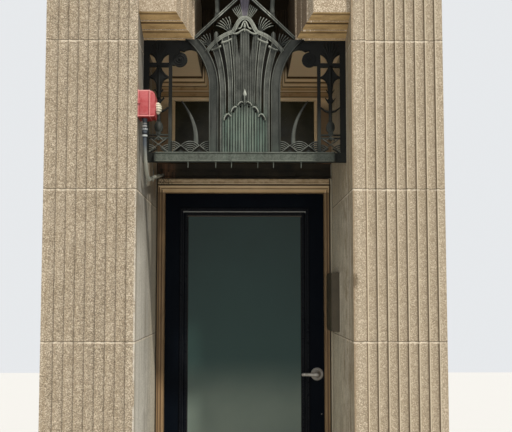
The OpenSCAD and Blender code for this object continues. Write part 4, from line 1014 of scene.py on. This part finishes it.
def windowTrim():
    w = window
    for share, y, width in w["beads"]:
        z, x = w["headZ"] + share * w["headH"], w["lip"] + share * w["over"]
        twin([(w["half"] - 2, z), (x, z)], width, y, 3.6, root=4)
        twin([(x, z - 3), (x, w["top"])], width * 0.8, y, 3.6, root=4)
    finishPiece("windowBeads", "window_frame_paint")

    twin([(w["glassX"], 2340), (w["glassX"], 2750)], 8, -4, 4, root=6)
    bead([(-452, 2339.5), (452, 2339.5)], 8, -4, 4, root=6)
    finishPiece("windowPutty", "window_frame_paint")

    for z, y in ((2256, -32.6), (2300, -18.6)):
        bead([(-556, z), (556, z)], 7, y, 3)
    for x in (-330, -165, 0, 165, 330):
        bead([(x, 2240), (x, 2277)], 9, -32.6, 3)
    finishPiece("transomBeads", "transom_paint")


windowTrim()
print("window trimmed")


# alarm box on the left reveal, its conduit, and the flat box on the right reveal
alarm = {
    "left": -560, "seam": -498, "out": -470, "frontY": -1151, "side": 140, "low": 2426,
    "lensZ": 2482, "lensR": 36.9, "pipeX": -527.5, "pipeY": -1095, "pipeR": 10.5, "bend": 215,
    "bendZ": 2346.4, "slope": 9, "clips": (150, 560), "clipX": -556,
}


def alarmTrim():
    a = alarm
    left, seam, front, low = a["left"], a["seam"], a["frontY"], a["low"]
    back, high = front + a["side"], low + a["side"]
    slab((left + 0.5, front - 3, low - 2.5), (left + 5, back + 3, high + 2.5), 1.2)
    slab((seam - 2.5, front - 2.2, low - 1.2), (seam + 1.5, back + 2.2, high + 1.2), 1.4)
    slab((left + 10, front - 1.6, low + 9), (seam - 10, front + 2, high - 9), 1.4)
    slab((left + 0.5, front - 9, low + 66), (left + 16, front + 2, low + 92), 2)
    for z in (low + 16, high - 16):
        screw((seam + 13, -1142.4, z), "y", -1, 3.6)
    y, z = front + a["side"] / 2, a["lensZ"]
    turned((a["out"], y, z), "x", [(-3, 36), (2, 36), (4, 34.5), (4, 31.2)], 36)
    finishPiece("alarmTrim", "red_plastic")

    centre = Vector((a["out"] - 5.7, y, z))
    for dz in (-14.5, -2, 10.5, 22):
        ring = sqrt(a["lensR"] ** 2 - dz ** 2)
        reach = acos(min(19.9 / ring, 1))
        rings = []
        for i in range(13):
            angle = -reach + 2 * reach * i / 12
            spoke = Vector((ring * cos(angle), ring * sin(angle), dz))
            rings.append([centre + spoke + spoke.normalized() * u + Vector((0, 0, v))
                          for u, v in ((-1, -1.6), (0.9, -0.9), (0.9, 0.9), (-1, 1.6))])
        loft(rings)
    turned((a["out"], y, z), "x", [(9, 30.6), (10, 32), (12.5, 32), (13.8, 30.6)], 36)
    finishPiece("lensRibs", "lens_plastic")


def conduitFittings():
    a = alarm
    x, y, z = a["pipeX"], a["pipeY"], a["low"]
    turned((x, y, z), "z", [(0.5, 14), (-1, 15.5), (-9, 15.5), (-10, 14)], 6, 0.25)
    for top, low, r, steps in ((-25, -32, 12.5, 24), (-38, -46, 13.5, 24), (-51, -65, 16.5, 6),
                               (-66, -76, 14, 24), (-87, -99, 15, 24)):
        turned((x, y, z), "z", [(top, r - 2), (top - 1, r), (low + 1, r), (low, r - 2)], steps)
    finishPiece("conduitNuts", "conduit_metal")

    slope = radians(a["slope"])
    level, rise = cos(slope), sin(slope)
    joinY, joinZ = y + a["bend"] + a["bend"] * rise, a["bendZ"] - a["bend"] * level
    for distance in a["clips"]:  # saddle clips on the reveal
        cy, cz = joinY + distance * level, joinZ + distance * rise
        rings = []
        for along, gap in ((-7, 0.8), (-6, 1.8), (6, 1.8), (7, 0.8)):
            ring = (polar((0, 0), a["pipeR"] + gap, 15 * k) for k in range(24))
            rings.append([(x + u, cy + along * level - v * rise, cz + along * rise + v * level)
                          for u, v in ring])
        loft(rings)
        slab((-559.6, cy - 8, cz - 34), (a["clipX"], cy + 8, cz + 34), 1)
        slab((-557, cy - 6, cz - 7), (x - 8, cy + 6, cz + 7), 1)
        for dz in (-26, 26):
            screw((a["clipX"], cy, cz + dz), "x", 1, 4)
    finishPiece("conduitClips", "conduit_metal")


def revealBoxTrim():
    (lx, ly, lz), (hx, hy, hz) = ([c * 1000 for c in corner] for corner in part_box("reveal_box"))
    slab((lx - 2, ly + 9, lz + 9), (lx + 3, hy - 9, hz - 9), 1.2)
    slab((hx - 14, ly - 2.2, lz - 2.2), (hx - 10, hy + 2.2, hz + 2.2), 1.2)
    for y in (ly + 22, hy - 22):
        for z in (lz + 22, hz - 22):
            screw((lx - 2, y, z), "x", -1, 4.5)
    lock = ((2, 13), (-3, 13), (-5, 11), (-5, 6), (-2, 5.5), (-2, 0.05))
    turned((lx - 1.5, (ly + hy) / 2 + 60, lz + 170), "x", lock, 28)
    finishPiece("revealBoxCover", "dark_box_metal")


alarmTrim()
conduitFittings()
revealBoxTrim()
print("fittings built")


def sillAndHinges():
    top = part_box("threshold")[1].z * 1000
    for k in range(6):
        section = ((-2.4, -1), (-1.4, 1.2), (1.4, 1.2), (2.4, -1))
        loft([[(x, 9 * k - 40 + u, top + v) for u, v in section] for x in (-500, 500)])
    finishPiece("sillRibs", "threshold_metal")

    low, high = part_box("hinge_pins")
    crown = ((low.x + high.x) * 500, (low.y + high.y) * 500, high.z * 1000)
    turned(crown, "z", [(-0.5, 4.2), (1.5, 5.4), (4, 5.8), (7, 4.2), (8.5, 1.5), (8.8, 0.05)], 16)
    finishPiece("hingeFinial", "furniture_metal")


sillAndHinges()
print("sill and hinges trimmed")


# floor, daylight from the upper right and a pale surround
ground = {"half": 12, "drop": 0.001, "tone": (0.62, 0.61, 0.59)}
light = {"sun": 2.95, "azimuth": 36, "height": 50, "spread": 3, "tone": (1, 0.95, 0.86), "surround": 0.95,
         "sky": (0.84, 0.86, 0.88)}


def paleFloor():
    bmesh.ops.create_grid(work, x_segments=1, y_segments=1, size=ground["half"])
    finish = Finish("studioFloor", 0.8)
    finish.sockets["Base Color"].default_value = (*ground["tone"], 1)
    floor = newMesh("studioFloor", finish.material)
    floor.location.z = -ground["drop"]


def daylight():
    sun = bpy.data.lights.new("softSun", "SUN")
    sun.energy = light["sun"]
    sun.angle = radians(light["spread"])
    sun.color = light["tone"]
    azimuth, height = radians(light["azimuth"]), radians(light["height"])
    level = cos(height)
    aim = Vector((sin(azimuth) * level, -cos(azimuth) * level, sin(height)))
    newObject("softSun", sun).rotation_euler = aim.to_track_quat("Z", "Y").to_euler()
    world = bpy.data.worlds.new("paleSurround")
    world.use_nodes = True
    back = world.node_tree.nodes["Background"]
    back.inputs["Color"].default_value = (*light["sky"], 1)
    back.inputs["Strength"].default_value = light["surround"]
    bpy.context.scene.world = world


paleFloor()
work.free()
daylight()
bpy.context.scene.view_settings.view_transform = "Standard"
print("floor and light set")
